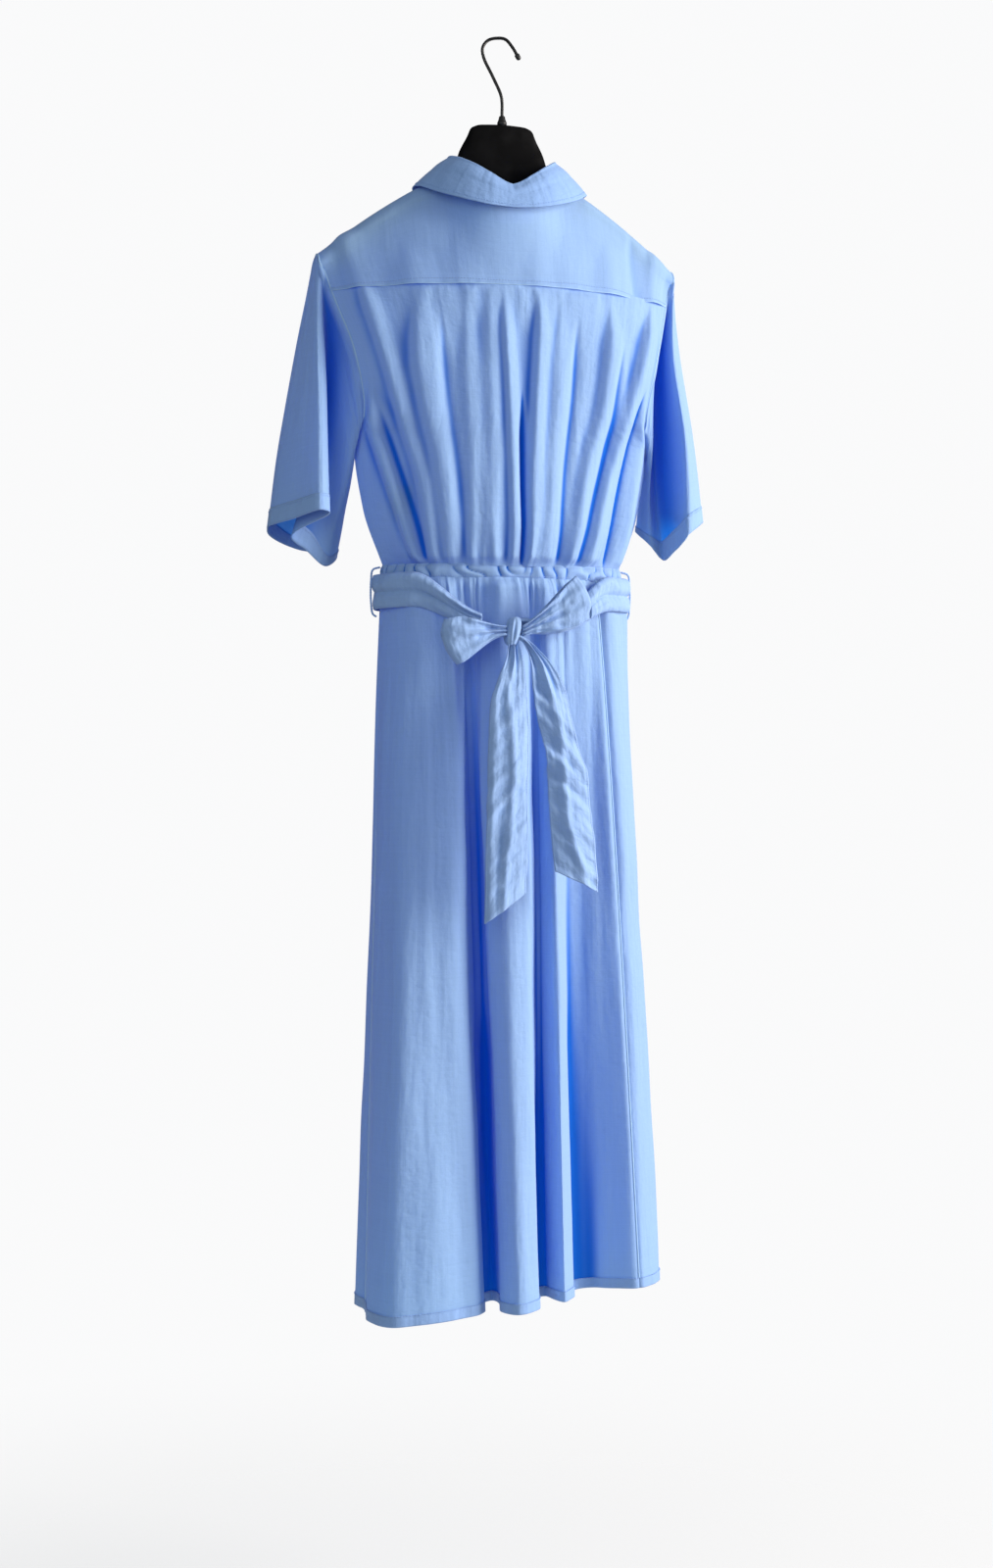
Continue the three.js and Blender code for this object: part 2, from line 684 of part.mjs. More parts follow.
/** A point on the armhole seam: turn 0 at the shoulder point, a quarter at the back, a half below. */
function armhole(turn) {
  const side = turn < 0.5 ? BACK : FRONT;
  const z = mix(SHOULDER_Z, UNDERARM_Z, (1 - Math.cos(2 * Math.PI * turn)) / 2);
  return vec(side.seamX(z), side.seamY(z), z);
}

/** A point on the sleeve's hem, which hangs lower at the front and under the arm. */
function sleeveEnd(turn, hand) {
  const angle = 2 * Math.PI * turn;
  const flare = hand > 0 ? SLEEVE_FLARE_LEFT : SLEEVE_FLARE_RIGHT;
  const clear = WAIST_HALF + SLEEVE_SIDE_GAP + SLEEVE_HEM_HALF_WIDTH;
  const centre = vec(Math.max(SHOULDER_HALF + flare, clear), -12, SHOULDER_Z - SLEEVE_LENGTH - 14);
  const outward = vec(SLEEVE_HEM_HALF_WIDTH, 0, 18).multiplyScalar(Math.cos(angle));
  const backward = vec(-2, SLEEVE_HEM_HALF_DEPTH, 15).multiplyScalar(Math.sin(angle));
  return centre.add(outward).add(backward);
}

/** A sleeve's tube between two distances from its hem; hand is 1 for the wearer's left. */
function sleeveTube(hand, fromTop, aboveHem, wall, rows) {
  return thickSheet(
    (u, v) => {
      const start = armhole(u);
      const end = sleeveEnd(u, hand);
      const length = start.distanceTo(end);
      const first = fromTop === undefined ? SLEEVE_START_GAP / length : 1 - fromTop / length;
      const last = 1 - aboveHem / length;
      const point = start.lerp(end, mix(first, last, v));
      return vec(hand * point.x, point.y, point.z);
    },
    24,
    rows,
    wall,
    true,
  );
}
for (const [hand, side] of [[1, "left"], [-1, "right"]]) {
  add(`sleeve_${side}`, sleeveTube(hand, undefined, SLEEVE_HEM_DEPTH + SEAM_GAP, CLOTH, 7), CLOTH_BLUE);
  add(`sleeve_hem_${side}`, sleeveTube(hand, SLEEVE_HEM_DEPTH, 0, HEM_CLOTH, 1), HEM_BLUE);
}

// ---------- waist ----------

/** A ring round the waist at an offset from it, between two heights. */
function waistRing(offset, lowZ, highZ, wall) {
  return thickSheet(
    (u, v) => {
      const angle = 2 * Math.PI * u;
      return vec(
        (WAIST_HALF + offset) * Math.cos(angle),
        (WAIST_DEPTH + offset) * Math.sin(angle),
        mix(highZ, lowZ, v),
      );
    },
    40,
    1,
    wall,
    true,
  );
}
const waistBottomZ = WAIST_Z - CASING_HEIGHT / 2;
const elasticWall = 1.2;
const elasticOffset = -(CLOTH + elasticWall) / 2 - LAYER_GAP;
add("waist_casing", waistRing(0, waistBottomZ, waistTopZ, CLOTH), CLOTH_BLUE);
add("waist_elastic", waistRing(elasticOffset, waistBottomZ + 2, waistTopZ - 2, elasticWall), ELASTIC_WHITE);

// ---------- skirt ----------

// The skirt's folds, in order round it from the wearer's left side over the back. Each is the x and y
// of the fold's line at the hem, and its x at the waist.
const BACK_FOLDS = [
  [150, -22, 134],
  [157, 34, 128],
  [142, 82, 112],
  [103, 85, 95],
  [49, 74, 80],
  [34, 56, 72],
  [30, 22, 62],
  [14, 8, 54],
  [10, 36, 46],
  [18, 70, 40],
  [7, 95, 22],
  [-17, 84, 2],
  [-27, 60, -6],
  [-34, 22, -14],
  [-44, 20, -22],
  [-54, 62, -34],
  [-69, 42, -41],
  [-80, 8, -51],
  [-98, 6, -60],
  [-120, 22, -78],
  [-147, 38, -95],
  [-172, 22, -118],
  [-182, -12, -133],
];
const FRONT_FOLDS = [
  [-166, -62, -122],
  [-132, -104, -100],
  [-104, -100, -84],
  [-86, -66, -70],
  [-70, -66, -58],
  [-56, -106, -46],
  [-30, -112, -30],
  [0, -108, 0],
  [30, -112, 30],
  [56, -106, 46],
  [70, -66, 58],
  [86, -66, 70],
  [104, -100, 84],
  [130, -102, 100],
  [152, -66, 122],
];

const hemZ = WAIST_Z - SKIRT_LENGTH;
const skirtTopZ = waistBottomZ - SEAM_GAP;
const folds = [
  ...BACK_FOLDS.map((fold) => ({ fold, sign: 1 })),
  ...FRONT_FOLDS.map((fold) => ({ fold, sign: -1 })),
];
const hemLine = new THREE.CatmullRomCurve3(
  folds.map(({ fold: [x, y] }) => vec(x, y, hemZ)),
  true,
);
const WAIST_FOLD_HALF = 134; // the half waist that the folds' third numbers are given for
const skirtWaistLine = new THREE.CatmullRomCurve3(
  folds.map(({ fold: [, , x], sign }) => {
    const share = clamp(x / WAIST_FOLD_HALF, -0.9999, 0.9999);
    return vec(WAIST_HALF * share, sign * WAIST_DEPTH * Math.sqrt(1 - share * share), skirtTopZ);
  }),
  true,
);

/** A point on the skirt: u counts folds round it, and z is the height. */
function skirtPoint(u, z) {
  const place = (((u / folds.length) % 1) + 1) % 1;
  const fall = clamp((skirtTopZ - z) / (skirtTopZ - hemZ), 0, 1);
  const top = skirtWaistLine.getPoint(place);
  const hem = hemLine.getPoint(place);
  const spread = fall ** 0.8;
  const x = mix(top.x, hem.x, spread);
  return vec(x, mix(top.y, hem.y, spread), z - HEM_TILT * x * fall);
}

const RIGHT_SEAM = 20; // the fold at which the right side seam runs
const frontMiddle = BACK_FOLDS.length + 7;
const leftSeam = folds.length;
const bandReach = (placketHalf + 1.2) / 30; // a front band's half width, in folds

/** A skirt panel between two folds and two heights. */
function skirtPanel(fromFold, toFold, highZ, lowZ, wall, rows) {
  const columns = Math.round(Math.abs(toFold - fromFold) * 2);
  const gap = 0.035; // in folds: about a seam's gap
  return thickSheet(
    (u, v) => skirtPoint(mix(fromFold + gap, toFold - gap, u), mix(highZ, lowZ, v)),
    columns,
    rows,
    wall,
  );
}
const SKIRT_PANELS = {
  back: [0, RIGHT_SEAM],
  front_right: [RIGHT_SEAM, frontMiddle - bandReach],
  front_left: [frontMiddle + bandReach, leftSeam],
};
const panelEndZ = hemZ + SKIRT_HEM_DEPTH;
for (const [name, [from, to]] of Object.entries(SKIRT_PANELS)) {
  add(`skirt_${name}`, skirtPanel(from, to, skirtTopZ, panelEndZ + SEAM_GAP, CLOTH, 6), CLOTH_BLUE);
  add(`skirt_hem_${name}`, skirtPanel(from, to, panelEndZ, hemZ, HEM_CLOTH, 1), HEM_BLUE);
}

/** A front band of the skirt, layer 1 outside and -1 inside the panels' surface. */
function skirtBand(layer) {
  const offset = (layer * (CLOTH + LAYER_GAP)) / 2;
  return thickSheet(
    (u, v) => {
      const z = mix(skirtTopZ, hemZ, v);
      const middle = skirtPoint(frontMiddle, z);
      return vec(mix(-placketHalf, placketHalf, u), middle.y - offset, z);
    },
    2,
    6,
    CLOTH,
  );
}
add("skirt_buttonhole_band", skirtBand(1), CLOTH_BLUE);
add("skirt_button_band", skirtBand(-1), CLOTH_BLUE);

// ---------- belt and bow ----------

/** The belt round the waist: it runs level at the front and drops to the knot at the back. */
function beltBand() {
  const startAngle = Math.atan2(WAIST_DEPTH, KNOT.x) - 0.16;
  const sweep = 2 * Math.PI - 0.36;
  return thickSheet(
    (u, v) => {
      const angle = startAngle - sweep * u;
      const toKnot = Math.max(0, Math.sin(angle)) ** 3;
      const near = smooth(clamp((toKnot - 0.25) / 0.75, 0, 1));
      const offset = BELT_STAND_OFF + near * (KNOT.y - WAIST_DEPTH - BELT_STAND_OFF - 4);
      const middleZ = mix(WAIST_Z - 21, KNOT.z, near);
      const width = mix(BELT_WIDTH, BELT_WIDTH * 0.4, near);
      return vec(
        (WAIST_HALF + BELT_STAND_OFF) * Math.cos(angle),
        (WAIST_DEPTH + offset) * Math.sin(angle),
        middleZ + (0.5 - v) * width,
      );
    },
    56,
    3,
    CLOTH,
  );
}
add("belt_band", beltBand(), CLOTH_BLUE);

/** The knot: a soft block wrapped round the middle of the bow. */
function beltKnot() {
  const geometry = new THREE.SphereGeometry(1, 16, 12);
  geometry.deleteAttribute("normal");
  geometry.deleteAttribute("uv");
  const merged = mergeVertices(geometry, 1e-4);
  return merged.scale(KNOT_HALF.x, KNOT_HALF.y, KNOT_HALF.z).translate(KNOT.x, KNOT.y, KNOT.z);
}
add("belt_knot", beltKnot(), CLOTH_BLUE);

/** One loop of the bow: a strip that leaves the knot, turns round and comes back beside itself. */
function bowLoop(hand, rise) {
  const start = KNOT_HALF.x + 3;
  const halfGap = 7; // between the strip's two runs
  return thickSheet(
    (u, v) => {
      const angle = Math.PI * (u - 0.5); // from the near run, round the end, to the far run
      const reach = start + (BOW_LOOP_LENGTH - start) * Math.cos(angle) ** 0.8;
      const share = (reach - start) / (BOW_LOOP_LENGTH - start);
      const open = mix(0.35, 1, smooth(share));
      const width = BOW_LOOP_WIDTH * mix(0.35, 1, smooth(clamp(share * 1.4, 0, 1)));
      return vec(
        KNOT.x + hand * reach,
        KNOT.y + 6 + halfGap * open * Math.sin(angle),
        KNOT.z + rise * share + (0.5 - v) * width,
      );
    },
    14,
    2,
    CLOTH,
  );
}
add("bow_loop_left", bowLoop(1, 0), CLOTH_BLUE);
add("bow_loop_right", bowLoop(-1, 38), CLOTH_BLUE);

/** One tail of the belt, from its hinge under the knot to its slanting end. */
function beltTail({ topX, endX, endY, length, slant, opens }) {
  const topZ = KNOT.z - KNOT_HALF.z - TAIL_HINGE_GAP;
  const topY = KNOT.y + 5;
  return thickSheet(
    (u, v) => {
      const across = u - 0.5;
      const width = TAIL_WIDTH * mix(TAIL_GATHER, 1, smooth(clamp(v / opens, 0, 1)));
      const along = v ** 0.7;
      return vec(
        mix(topX, endX, along) + across * width,
        mix(topY, endY, along) - 14 * across * across,
        topZ - length * v - slant * across * v,
      );
    },
    4,
    12,
    TAIL_CLOTH,
  );
}
// opens is the share of the length in which a tail reaches its full width.
const TAILS = {
  left: { topX: KNOT.x + 6, endX: 22, endY: 112, length: TAIL_LEFT_LENGTH, slant: 30, opens: 0.25 },
  right: { topX: KNOT.x - 13, endX: -56, endY: 106, length: TAIL_RIGHT_LENGTH, slant: -18, opens: 0.65 },
};
for (const [side, tail] of Object.entries(TAILS)) add(`belt_tail_${side}`, beltTail(tail), CLOTH_BLUE);

/** A narrow loop on the side seam that holds the belt. */
function beltLoop(hand) {
  const reach = WAIST_HALF + BELT_STAND_OFF + 4.5;
  const middleZ = WAIST_Z - 21;
  const half = BELT_WIDTH / 2 + 5;
  const line = new THREE.CatmullRomCurve3([
    vec(hand * (reach - 10), 0, middleZ + half + 3),
    vec(hand * (reach - 2), 0, middleZ + half),
    vec(hand * reach, 0, middleZ + half * 0.5),
    vec(hand * reach, 0, middleZ - half * 0.5),
    vec(hand * (reach - 2), 0, middleZ - half),
    vec(hand * (reach - 6), 0, middleZ - half - 3),
  ]);
  return bar(line, 1.3, 12, 4);
}
add("belt_loop_left", beltLoop(1), CLOTH_BLUE);
add("belt_loop_right", beltLoop(-1), CLOTH_BLUE);

// ---------- labels ----------

add(
  "neck_label",
  thickSheet(
    (u, v) => {
      const x = mix(-20, 20, u);
      const z = NECK_BACK_Z - 6 - 24 * v;
      return vec(x, panelY(BACK, x, z) - CLOTH - LAYER_GAP, z);
    },
    2,
    2,
    1,
  ),
  LABEL_WHITE,
);
add(
  "care_label",
  thickSheet(
    (u, v) => {
      const x = mix(108, 128, u);
      const z = mix(UNDERARM_Z, WAIST_Z, 0.35) - 34 * v;
      return vec(x, panelY(BACK, x, z) - CLOTH - LAYER_GAP - 2, z);
    },
    2,
    2,
    1,
  ),
  LABEL_WHITE,
);

// ---------- buttons ----------

/** A four-hole button, flat, about Z. */
function buttonDisc() {
  const disc = new THREE.Shape().absarc(0, 0, BUTTON_R, 0, 2 * Math.PI);
  for (let k = 0; k < 4; k++) {
    const angle = Math.PI / 4 + (k * Math.PI) / 2;
    const reach = BUTTON_R * 0.32;
    const hole = new THREE.Path();
    const [x, y, r] = [reach * Math.cos(angle), reach * Math.sin(angle), BUTTON_HOLE_R];
    hole.moveTo(x + r, y).lineTo(x, y - r).lineTo(x - r, y).lineTo(x, y + r).closePath();
    disc.holes.push(hole);
  }
  return new THREE.ExtrudeGeometry(disc, { depth: BUTTON_THICK, curveSegments: 6, bevelEnabled: false });
}

/** Sews a button on a front surface given by yAt(z), facing the way the surface faces. */
function sewButton(name, z, yAt) {
  const geometry = buttonDisc();
  const slope = Math.atan2(yAt(z + 1) - yAt(z - 1), 2);
  const clearance = CLOTH + LAYER_GAP / 2 + 0.5;
  geometry.rotateX(Math.PI / 2 - slope);
  geometry.translate(0, yAt(z) - clearance, z);
  add(name, geometry, BUTTON_PEARL);
}
const collarButtonZ = NECK_FRONT_Z - 8;
const bodiceY = (z) => panelY(FRONT, 0, z);
const skirtY = (z) => skirtPoint(frontMiddle, z).y;
for (let k = 0; k < BODICE_BUTTONS; k++) {
  sewButton(`bodice_button_${k + 1}`, collarButtonZ - 8 - k * BUTTON_PITCH, bodiceY);
}
for (let k = 0; k < SKIRT_BUTTONS; k++) {
  sewButton(`skirt_button_${k + 1}`, WAIST_Z - BUTTON_PITCH * (k + 1), skirtY);
}

export default gown;
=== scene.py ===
"""Builds the finished look of a short-sleeved gown with a bow-tied belt, on its hanger.

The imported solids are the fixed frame. Each sub-assembly is a class that holds its sizes in
millimetres, builds its cloth as dense grids, and dresses them in procedural finishes.
"""

import json
import logging
import math
from collections.abc import Callable, Sequence
from dataclasses import dataclass, field
from enum import Enum

import bpy
import numpy as np
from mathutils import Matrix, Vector

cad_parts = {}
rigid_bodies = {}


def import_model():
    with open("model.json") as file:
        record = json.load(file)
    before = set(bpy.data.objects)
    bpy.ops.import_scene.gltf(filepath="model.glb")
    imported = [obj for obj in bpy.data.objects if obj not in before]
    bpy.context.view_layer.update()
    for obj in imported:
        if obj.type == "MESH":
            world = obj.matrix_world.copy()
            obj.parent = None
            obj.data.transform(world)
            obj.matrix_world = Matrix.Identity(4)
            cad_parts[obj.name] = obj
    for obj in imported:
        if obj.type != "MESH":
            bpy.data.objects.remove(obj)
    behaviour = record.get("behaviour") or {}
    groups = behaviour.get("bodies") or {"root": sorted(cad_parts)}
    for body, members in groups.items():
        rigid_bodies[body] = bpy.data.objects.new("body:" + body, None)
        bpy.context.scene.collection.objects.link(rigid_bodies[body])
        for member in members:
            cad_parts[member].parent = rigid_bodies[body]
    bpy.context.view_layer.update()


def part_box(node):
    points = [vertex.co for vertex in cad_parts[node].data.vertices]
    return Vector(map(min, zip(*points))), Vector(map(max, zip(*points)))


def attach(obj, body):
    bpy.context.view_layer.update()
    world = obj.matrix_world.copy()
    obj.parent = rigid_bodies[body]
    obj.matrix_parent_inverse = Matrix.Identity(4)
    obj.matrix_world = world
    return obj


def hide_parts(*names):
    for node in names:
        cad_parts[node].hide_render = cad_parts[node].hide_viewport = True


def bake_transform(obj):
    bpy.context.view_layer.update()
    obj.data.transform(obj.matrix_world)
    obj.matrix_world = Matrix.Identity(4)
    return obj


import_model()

Array = np.ndarray
Pairs = tuple[tuple[float, float], ...]
Point = tuple[float, float, float]

MM = 0.001
TAU = 2 * math.pi

log = logging.getLogger("gown")


class Hand(Enum):
    """A side of the garment, as its wearer has it. The value is the sign of X there."""

    LEFT = 1
    RIGHT = -1

    @property
    def word(self) -> str:
        """The side's name as it stands in node and body names."""
        return self.name.lower()


class Face(Enum):
    """The back or the front of the garment. The value is the sign of Y there."""

    BACK = 1
    FRONT = -1


# ---------------------------------------------------------------- numbers and curves


def smooth(t: Array | float) -> Array:
    """An ease from 0 to 1 that is held outside that range."""
    t = np.clip(t, 0.0, 1.0)
    return t * t * (3 - 2 * t)


def mix(a: Array | float, b: Array | float, t: Array | float) -> Array:
    """The value between a and b at share t."""
    return a + (b - a) * t


def unit(v: Array) -> Array:
    """The vectors in the last axis of v, at length 1."""
    return v / np.maximum(np.linalg.norm(v, axis=-1, keepdims=True), 1e-9)


def box_mm(node: str) -> tuple[Array, Array]:
    """The lowest and highest corner of a CAD node, in millimetres."""
    low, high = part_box(node)
    return np.array(low) / MM, np.array(high) / MM


@dataclass(frozen=True)
class Profile:
    """A smooth line through measured pairs that never overshoots them.

    Attributes:
        pairs: The place and the value at it, in any order.
    """

    pairs: Pairs

    def at(self, where: Array | float) -> Array:
        """The line's value.

        Args:
            where: The places asked for.

        Returns:
            One value for each place, held beyond the line's ends.
        """
        x, y = np.array(sorted(self.pairs), float).T
        run = np.diff(x)
        chord = np.diff(y) / run
        slope = np.concatenate([chord[:1], np.zeros(len(x) - 2), chord[-1:]])
        turning = chord[:-1] * chord[1:]
        total = np.where(np.abs(chord[:-1] + chord[1:]) < 1e-12, 1.0, chord[:-1] + chord[1:])
        slope[1:-1] = np.where(turning > 0, 2 * turning / total, 0.0)
        at = np.clip(np.asarray(where, float), x[0], x[-1])
        k = np.clip(np.searchsorted(x, at, side="right") - 1, 0, len(run) - 1)
        t = (at - x[k]) / run[k]
        held = (1 + 2 * t) * (1 - t) ** 2 * y[k] + t * t * (3 - 2 * t) * y[k + 1]
        return held + run[k] * (t * (1 - t) ** 2 * slope[k] - t * t * (1 - t) * slope[k + 1])


def round_trip(points: Array, where: Array) -> Array:
    """A closed curve through points that never loops between close ones.

    Args:
        points: The curve's points in the first axis, X, Y, Z in the last.
        where: Places, counted in points from the first.

    Returns:
        One point for each place, in the first axis.
    """
    count = len(points)
    k = np.floor(where).astype(int)
    t = (where - k).reshape(-1, *[1] * (points.ndim - 1))
    before, here, after, beyond = (points[(k + n) % count] for n in (-1, 0, 1, 2))
    first, run, last = (
        np.maximum(np.sqrt(np.linalg.norm(b - a, axis=-1, keepdims=True)), 1e-4)
        for a, b in ((before, here), (here, after), (after, beyond))
    )
    leave = (here - before) / first - (after - before) / (first + run) + (after - here) / run
    reach = (after - here) / run - (beyond - here) / (run + last) + (beyond - after) / last
    leave, reach = leave * run, reach * run
    bend = -3 * here + 3 * after - 2 * leave - reach
    return here + leave * t + bend * t**2 + (2 * here - 2 * after + leave + reach) * t**3


def open_trip(points: Sequence[Point], count: int) -> Array:
    """count places, evenly spaced, on a smooth open curve through points."""
    given = np.array(points, float)
    given = np.vstack([2 * given[0] - given[1], given, 2 * given[-1] - given[-2]])
    fine = round_trip(given, np.linspace(1, len(given) - 2 - 1e-6, 600))
    along = np.concatenate([[0], np.cumsum(np.linalg.norm(np.diff(fine, axis=0), axis=1))])
    even = np.linspace(0, along[-1], count)
    return np.stack([np.interp(even, along, fine[:, k]) for k in range(3)], axis=1)


@dataclass(frozen=True)
class Ripple:
    """Seeded smooth noise over two directions, from -1 to 1.

    Attributes:
        seed: The draw's seed.
        first: Distance between bumps in the first direction.
        second: Distance between bumps in the second direction.
    """

    seed: int
    first: float
    second: float

    def at(self, a: Array, b: Array) -> Array:
        """The noise at places a and b."""
        size = 64
        lattice = np.random.default_rng(self.seed).uniform(-1, 1, (size, size))
        a, b = a / self.first + 1000.37, b / self.second + 1000.61
        i, j = np.floor(a).astype(int), np.floor(b).astype(int)
        s, t = smooth(a - i), smooth(b - j)
        corner = [lattice[(i + m) % size, (j + n) % size] for m in (0, 1) for n in (0, 1)]
        return mix(mix(corner[0], corner[1], t), mix(corner[2], corner[3], t), s)


# ---------------------------------------------------------------- cloth grids


def normals_of(points: Array, closed: bool) -> Array:
    """The unit normals of a grid, from the way its rows and columns run."""
    down = np.gradient(points, axis=0)
    if closed:
        across = (np.roll(points, -1, axis=1) - np.roll(points, 1, axis=1)) / 2
    else:
        across = np.gradient(points, axis=1)
    return unit(np.cross(down, across))


def blurred(field_: Array, reach: int, closed: bool) -> Array:
    """A grid averaged along its rows over reach columns to each side."""
    window = np.hanning(2 * reach + 3)[1:-1]
    window = window / window.sum()
    mode = "wrap" if closed else "edge"
    padded = np.pad(field_, ((0, 0), (reach, reach), (0, 0)), mode=mode)
    out = np.zeros_like(field_)
    for k, weight in enumerate(window):
        out += weight * padded[:, k : k + field_.shape[1]]
    return out


@dataclass
class Sheet:
    """A grid of cloth, row by row, in millimetres.

    Attributes:
        points: The grid, as rows, columns and X, Y, Z.
        closed: True if the last column joins the first.
        outward: A direction that its normals turn towards, or None to keep them.
        reach: How wide a fold its valley mask looks for, in millimetres.
        shade: The least that the valley mask is, on a wall that lies deep behind another; it paints shade
            into the cloth's colour there.
    """

    points: Array
    closed: bool = False
    outward: Callable[[Array], Array] | None = None
    reach: float = 16.0
    shade: Array | float = 0.0
    normals: Array = field(init=False)

    def __post_init__(self) -> None:
        """Works out which way the cloth faces."""
        self.normals = normals_of(self.points, self.closed)
        if self.outward is not None and (self.normals * self.outward(self.points)).sum() < 0:
            self.normals = -self.normals

    def lifted(self, height: Array | float) -> "Sheet":
        """The same sheet moved along its normals by height."""
        height = np.asarray(height, float)
        moved = self.points + self.normals * (height[..., None] if height.ndim else height)
        return Sheet(moved, self.closed, self.outward, self.reach, self.shade)

    def valley(self) -> Array:
        """How deep each point lies in a fold, from 0 on a crest to 1: the mask by which shade is painted
        into the cloth's colour.
        """
        across = np.linalg.norm(np.diff(self.points, axis=1), axis=2).mean()
        deep = np.zeros(self.points.shape[:2])
        for share in (0.5, 1.0, 2.0):
            count = max(2, min(int(self.reach * share / max(across, 0.1)), self.points.shape[1] // 4))
            mean = blurred(self.points, count, self.closed)
            deep += ((mean - self.points) * self.normals).sum(axis=2) / (self.reach * 0.22 * share)
        return np.maximum(smooth(0.06 + deep * 0.62), self.shade)

    def flat_cut(self) -> Array:
        """Where each point lies on the flat cloth, in millimetres."""
        steps = np.linalg.norm(np.diff(self.points, axis=1), axis=2).mean(axis=0)
        falls = np.linalg.norm(np.diff(self.points, axis=0), axis=2).mean(axis=1)
        u = np.concatenate([[0], np.cumsum(steps)])
        v = np.concatenate([[0], np.cumsum(falls)])
        if self.closed:
            u = np.linspace(0, u[-1] * 1.002, self.points.shape[1] + 1)
        return np.stack(np.meshgrid(u, v), axis=2)

    def build(self, name: str, thickness: float = 0.5) -> bpy.types.Object:
        """Makes the cloth's mesh.

        Args:
            name: The piece's name.
            thickness: The cloth's thickness, in millimetres.

        Returns:
            The new object, with its flat cut as UV coordinates and its valley mask of painted shade.
        """
        rows, columns = self.points.shape[:2]
        across = columns if self.closed else columns - 1
        j, i = np.meshgrid(np.arange(rows - 1), np.arange(across), indexing="ij")
        right = (i + 1) % columns
        corners = np.stack([j * columns + i, j * columns + right, (j + 1) * columns + right,
                            (j + 1) * columns + i], axis=2).reshape(-1, 4)
        places = np.stack([np.stack([j, i], 2), np.stack([j, i + 1], 2), np.stack([j + 1, i + 1], 2),
                           np.stack([j + 1, i], 2)], axis=2).reshape(-1, 4, 2)
        outward = normals_of(self.points, self.closed)
        if (outward * self.normals).sum() > 0:
            corners, places = corners[:, ::-1], places[:, ::-1]
        mesh = bpy.data.meshes.new(name)
        mesh.vertices.add(rows * columns)
        mesh.vertices.foreach_set("co", (self.points * MM).astype(np.float32).ravel())
        mesh.loops.add(corners.size)
        mesh.loops.foreach_set("vertex_index", corners.astype(np.int32).ravel())
        mesh.polygons.add(len(corners))
        mesh.polygons.foreach_set("loop_start", np.arange(0, corners.size, 4, dtype=np.int32))
        mesh.update(calc_edges=True)
        mesh.shade_smooth()
        cut = self.flat_cut() * MM
        layer = mesh.uv_layers.new(name="cut")
        uv = cut[places[..., 0], places[..., 1]]
        layer.data.foreach_set("uv", uv.astype(np.float32).ravel())
        # The valley mask, by which the finishes paint shade into the folds.
        mask = mesh.attributes.new("valley", "FLOAT", "POINT")
        mask.data.foreach_set("value", self.valley().astype(np.float32).ravel())
        mesh.validate()
        piece = bpy.data.objects.new(name, mesh)
        bpy.context.scene.collection.objects.link(piece)
        if thickness > 0:
            wall = piece.modifiers.new("wall", "SOLIDIFY")
            wall.thickness = thickness * MM
            wall.offset = -1.0
            wall.use_even_offset = False
        return piece


def tube(name: str, line: Array, radius: Array | float, sides: int = 16) -> bpy.types.Object:
    """A closed round bar along a line.

    Args:
        name: The piece's name.
        line: The points of its centre line, in millimetres.
        radius: Its radius, or one for each point.
        sides: Corners of its section.

    Returns:
        The new object.
    """
    heading = unit(np.gradient(line, axis=0))
    side = unit(np.cross(heading[0], [0.31, 0.95, 0.05]))
    sides_of = []
    for step in heading:
        side = unit(side - step * (side @ step))
        sides_of.append(side)
    side = np.array(sides_of)
    other = np.cross(heading, side)
    angle = np.linspace(0, TAU, sides, endpoint=False)
    size = np.broadcast_to(np.asarray(radius, float), (len(line),))[:, None, None]
    ring = np.cos(angle)[None, :, None] * side[:, None] + np.sin(angle)[None, :, None] * other[:, None]
    points = (line[:, None] + ring * size).reshape(-1, 3)
    return shell(name, points, len(line), sides)


def shell(name: str, points: Array, rings: int, sides: int) -> bpy.types.Object:
    """A closed solid skin through rings of points, with its two ends filled."""
    faces = [
        (k * sides + i, k * sides + (i + 1) % sides, (k + 1) * sides + (i + 1) % sides, (k + 1) * sides + i)
        for k in range(rings - 1)
        for i in range(sides)
    ]
    last = (rings - 1) * sides
    faces += [tuple(range(sides))[::-1], tuple(last + i for i in range(sides))]
    mesh = bpy.data.meshes.new(name)
    mesh.from_pydata([tuple(p) for p in points * MM], [], faces)
    mesh.update()
    mesh.shade_smooth()
    piece = bpy.data.objects.new(name, mesh)
    bpy.context.scene.collection.objects.link(piece)
    bpy.context.view_layer.update()
    return piece


def turned(name: str, profile: Pairs, centre: Point, sides: int = 48) -> bpy.types.Object:
    """A round piece about Z through (radius, height) pairs."""
    angle = np.linspace(0, TAU, sides, endpoint=False)
    rings = [
        np.stack([r * np.cos(angle), r * np.sin(angle), np.full(sides, z)], axis=1) for r, z in profile
    ]
    points = np.concatenate(rings) + np.array(centre)
    return shell(name, points, len(profile), sides)


def distances(line: Array) -> Array:
    """How far along a line each of its points is."""
    return np.concatenate([[0], np.cumsum(np.linalg.norm(np.diff(line, axis=0), axis=1))])


def closed_up(line: Array) -> Array:
    """A ring's points with the first one again at the end."""
    return np.vstack([line, line[:1]])


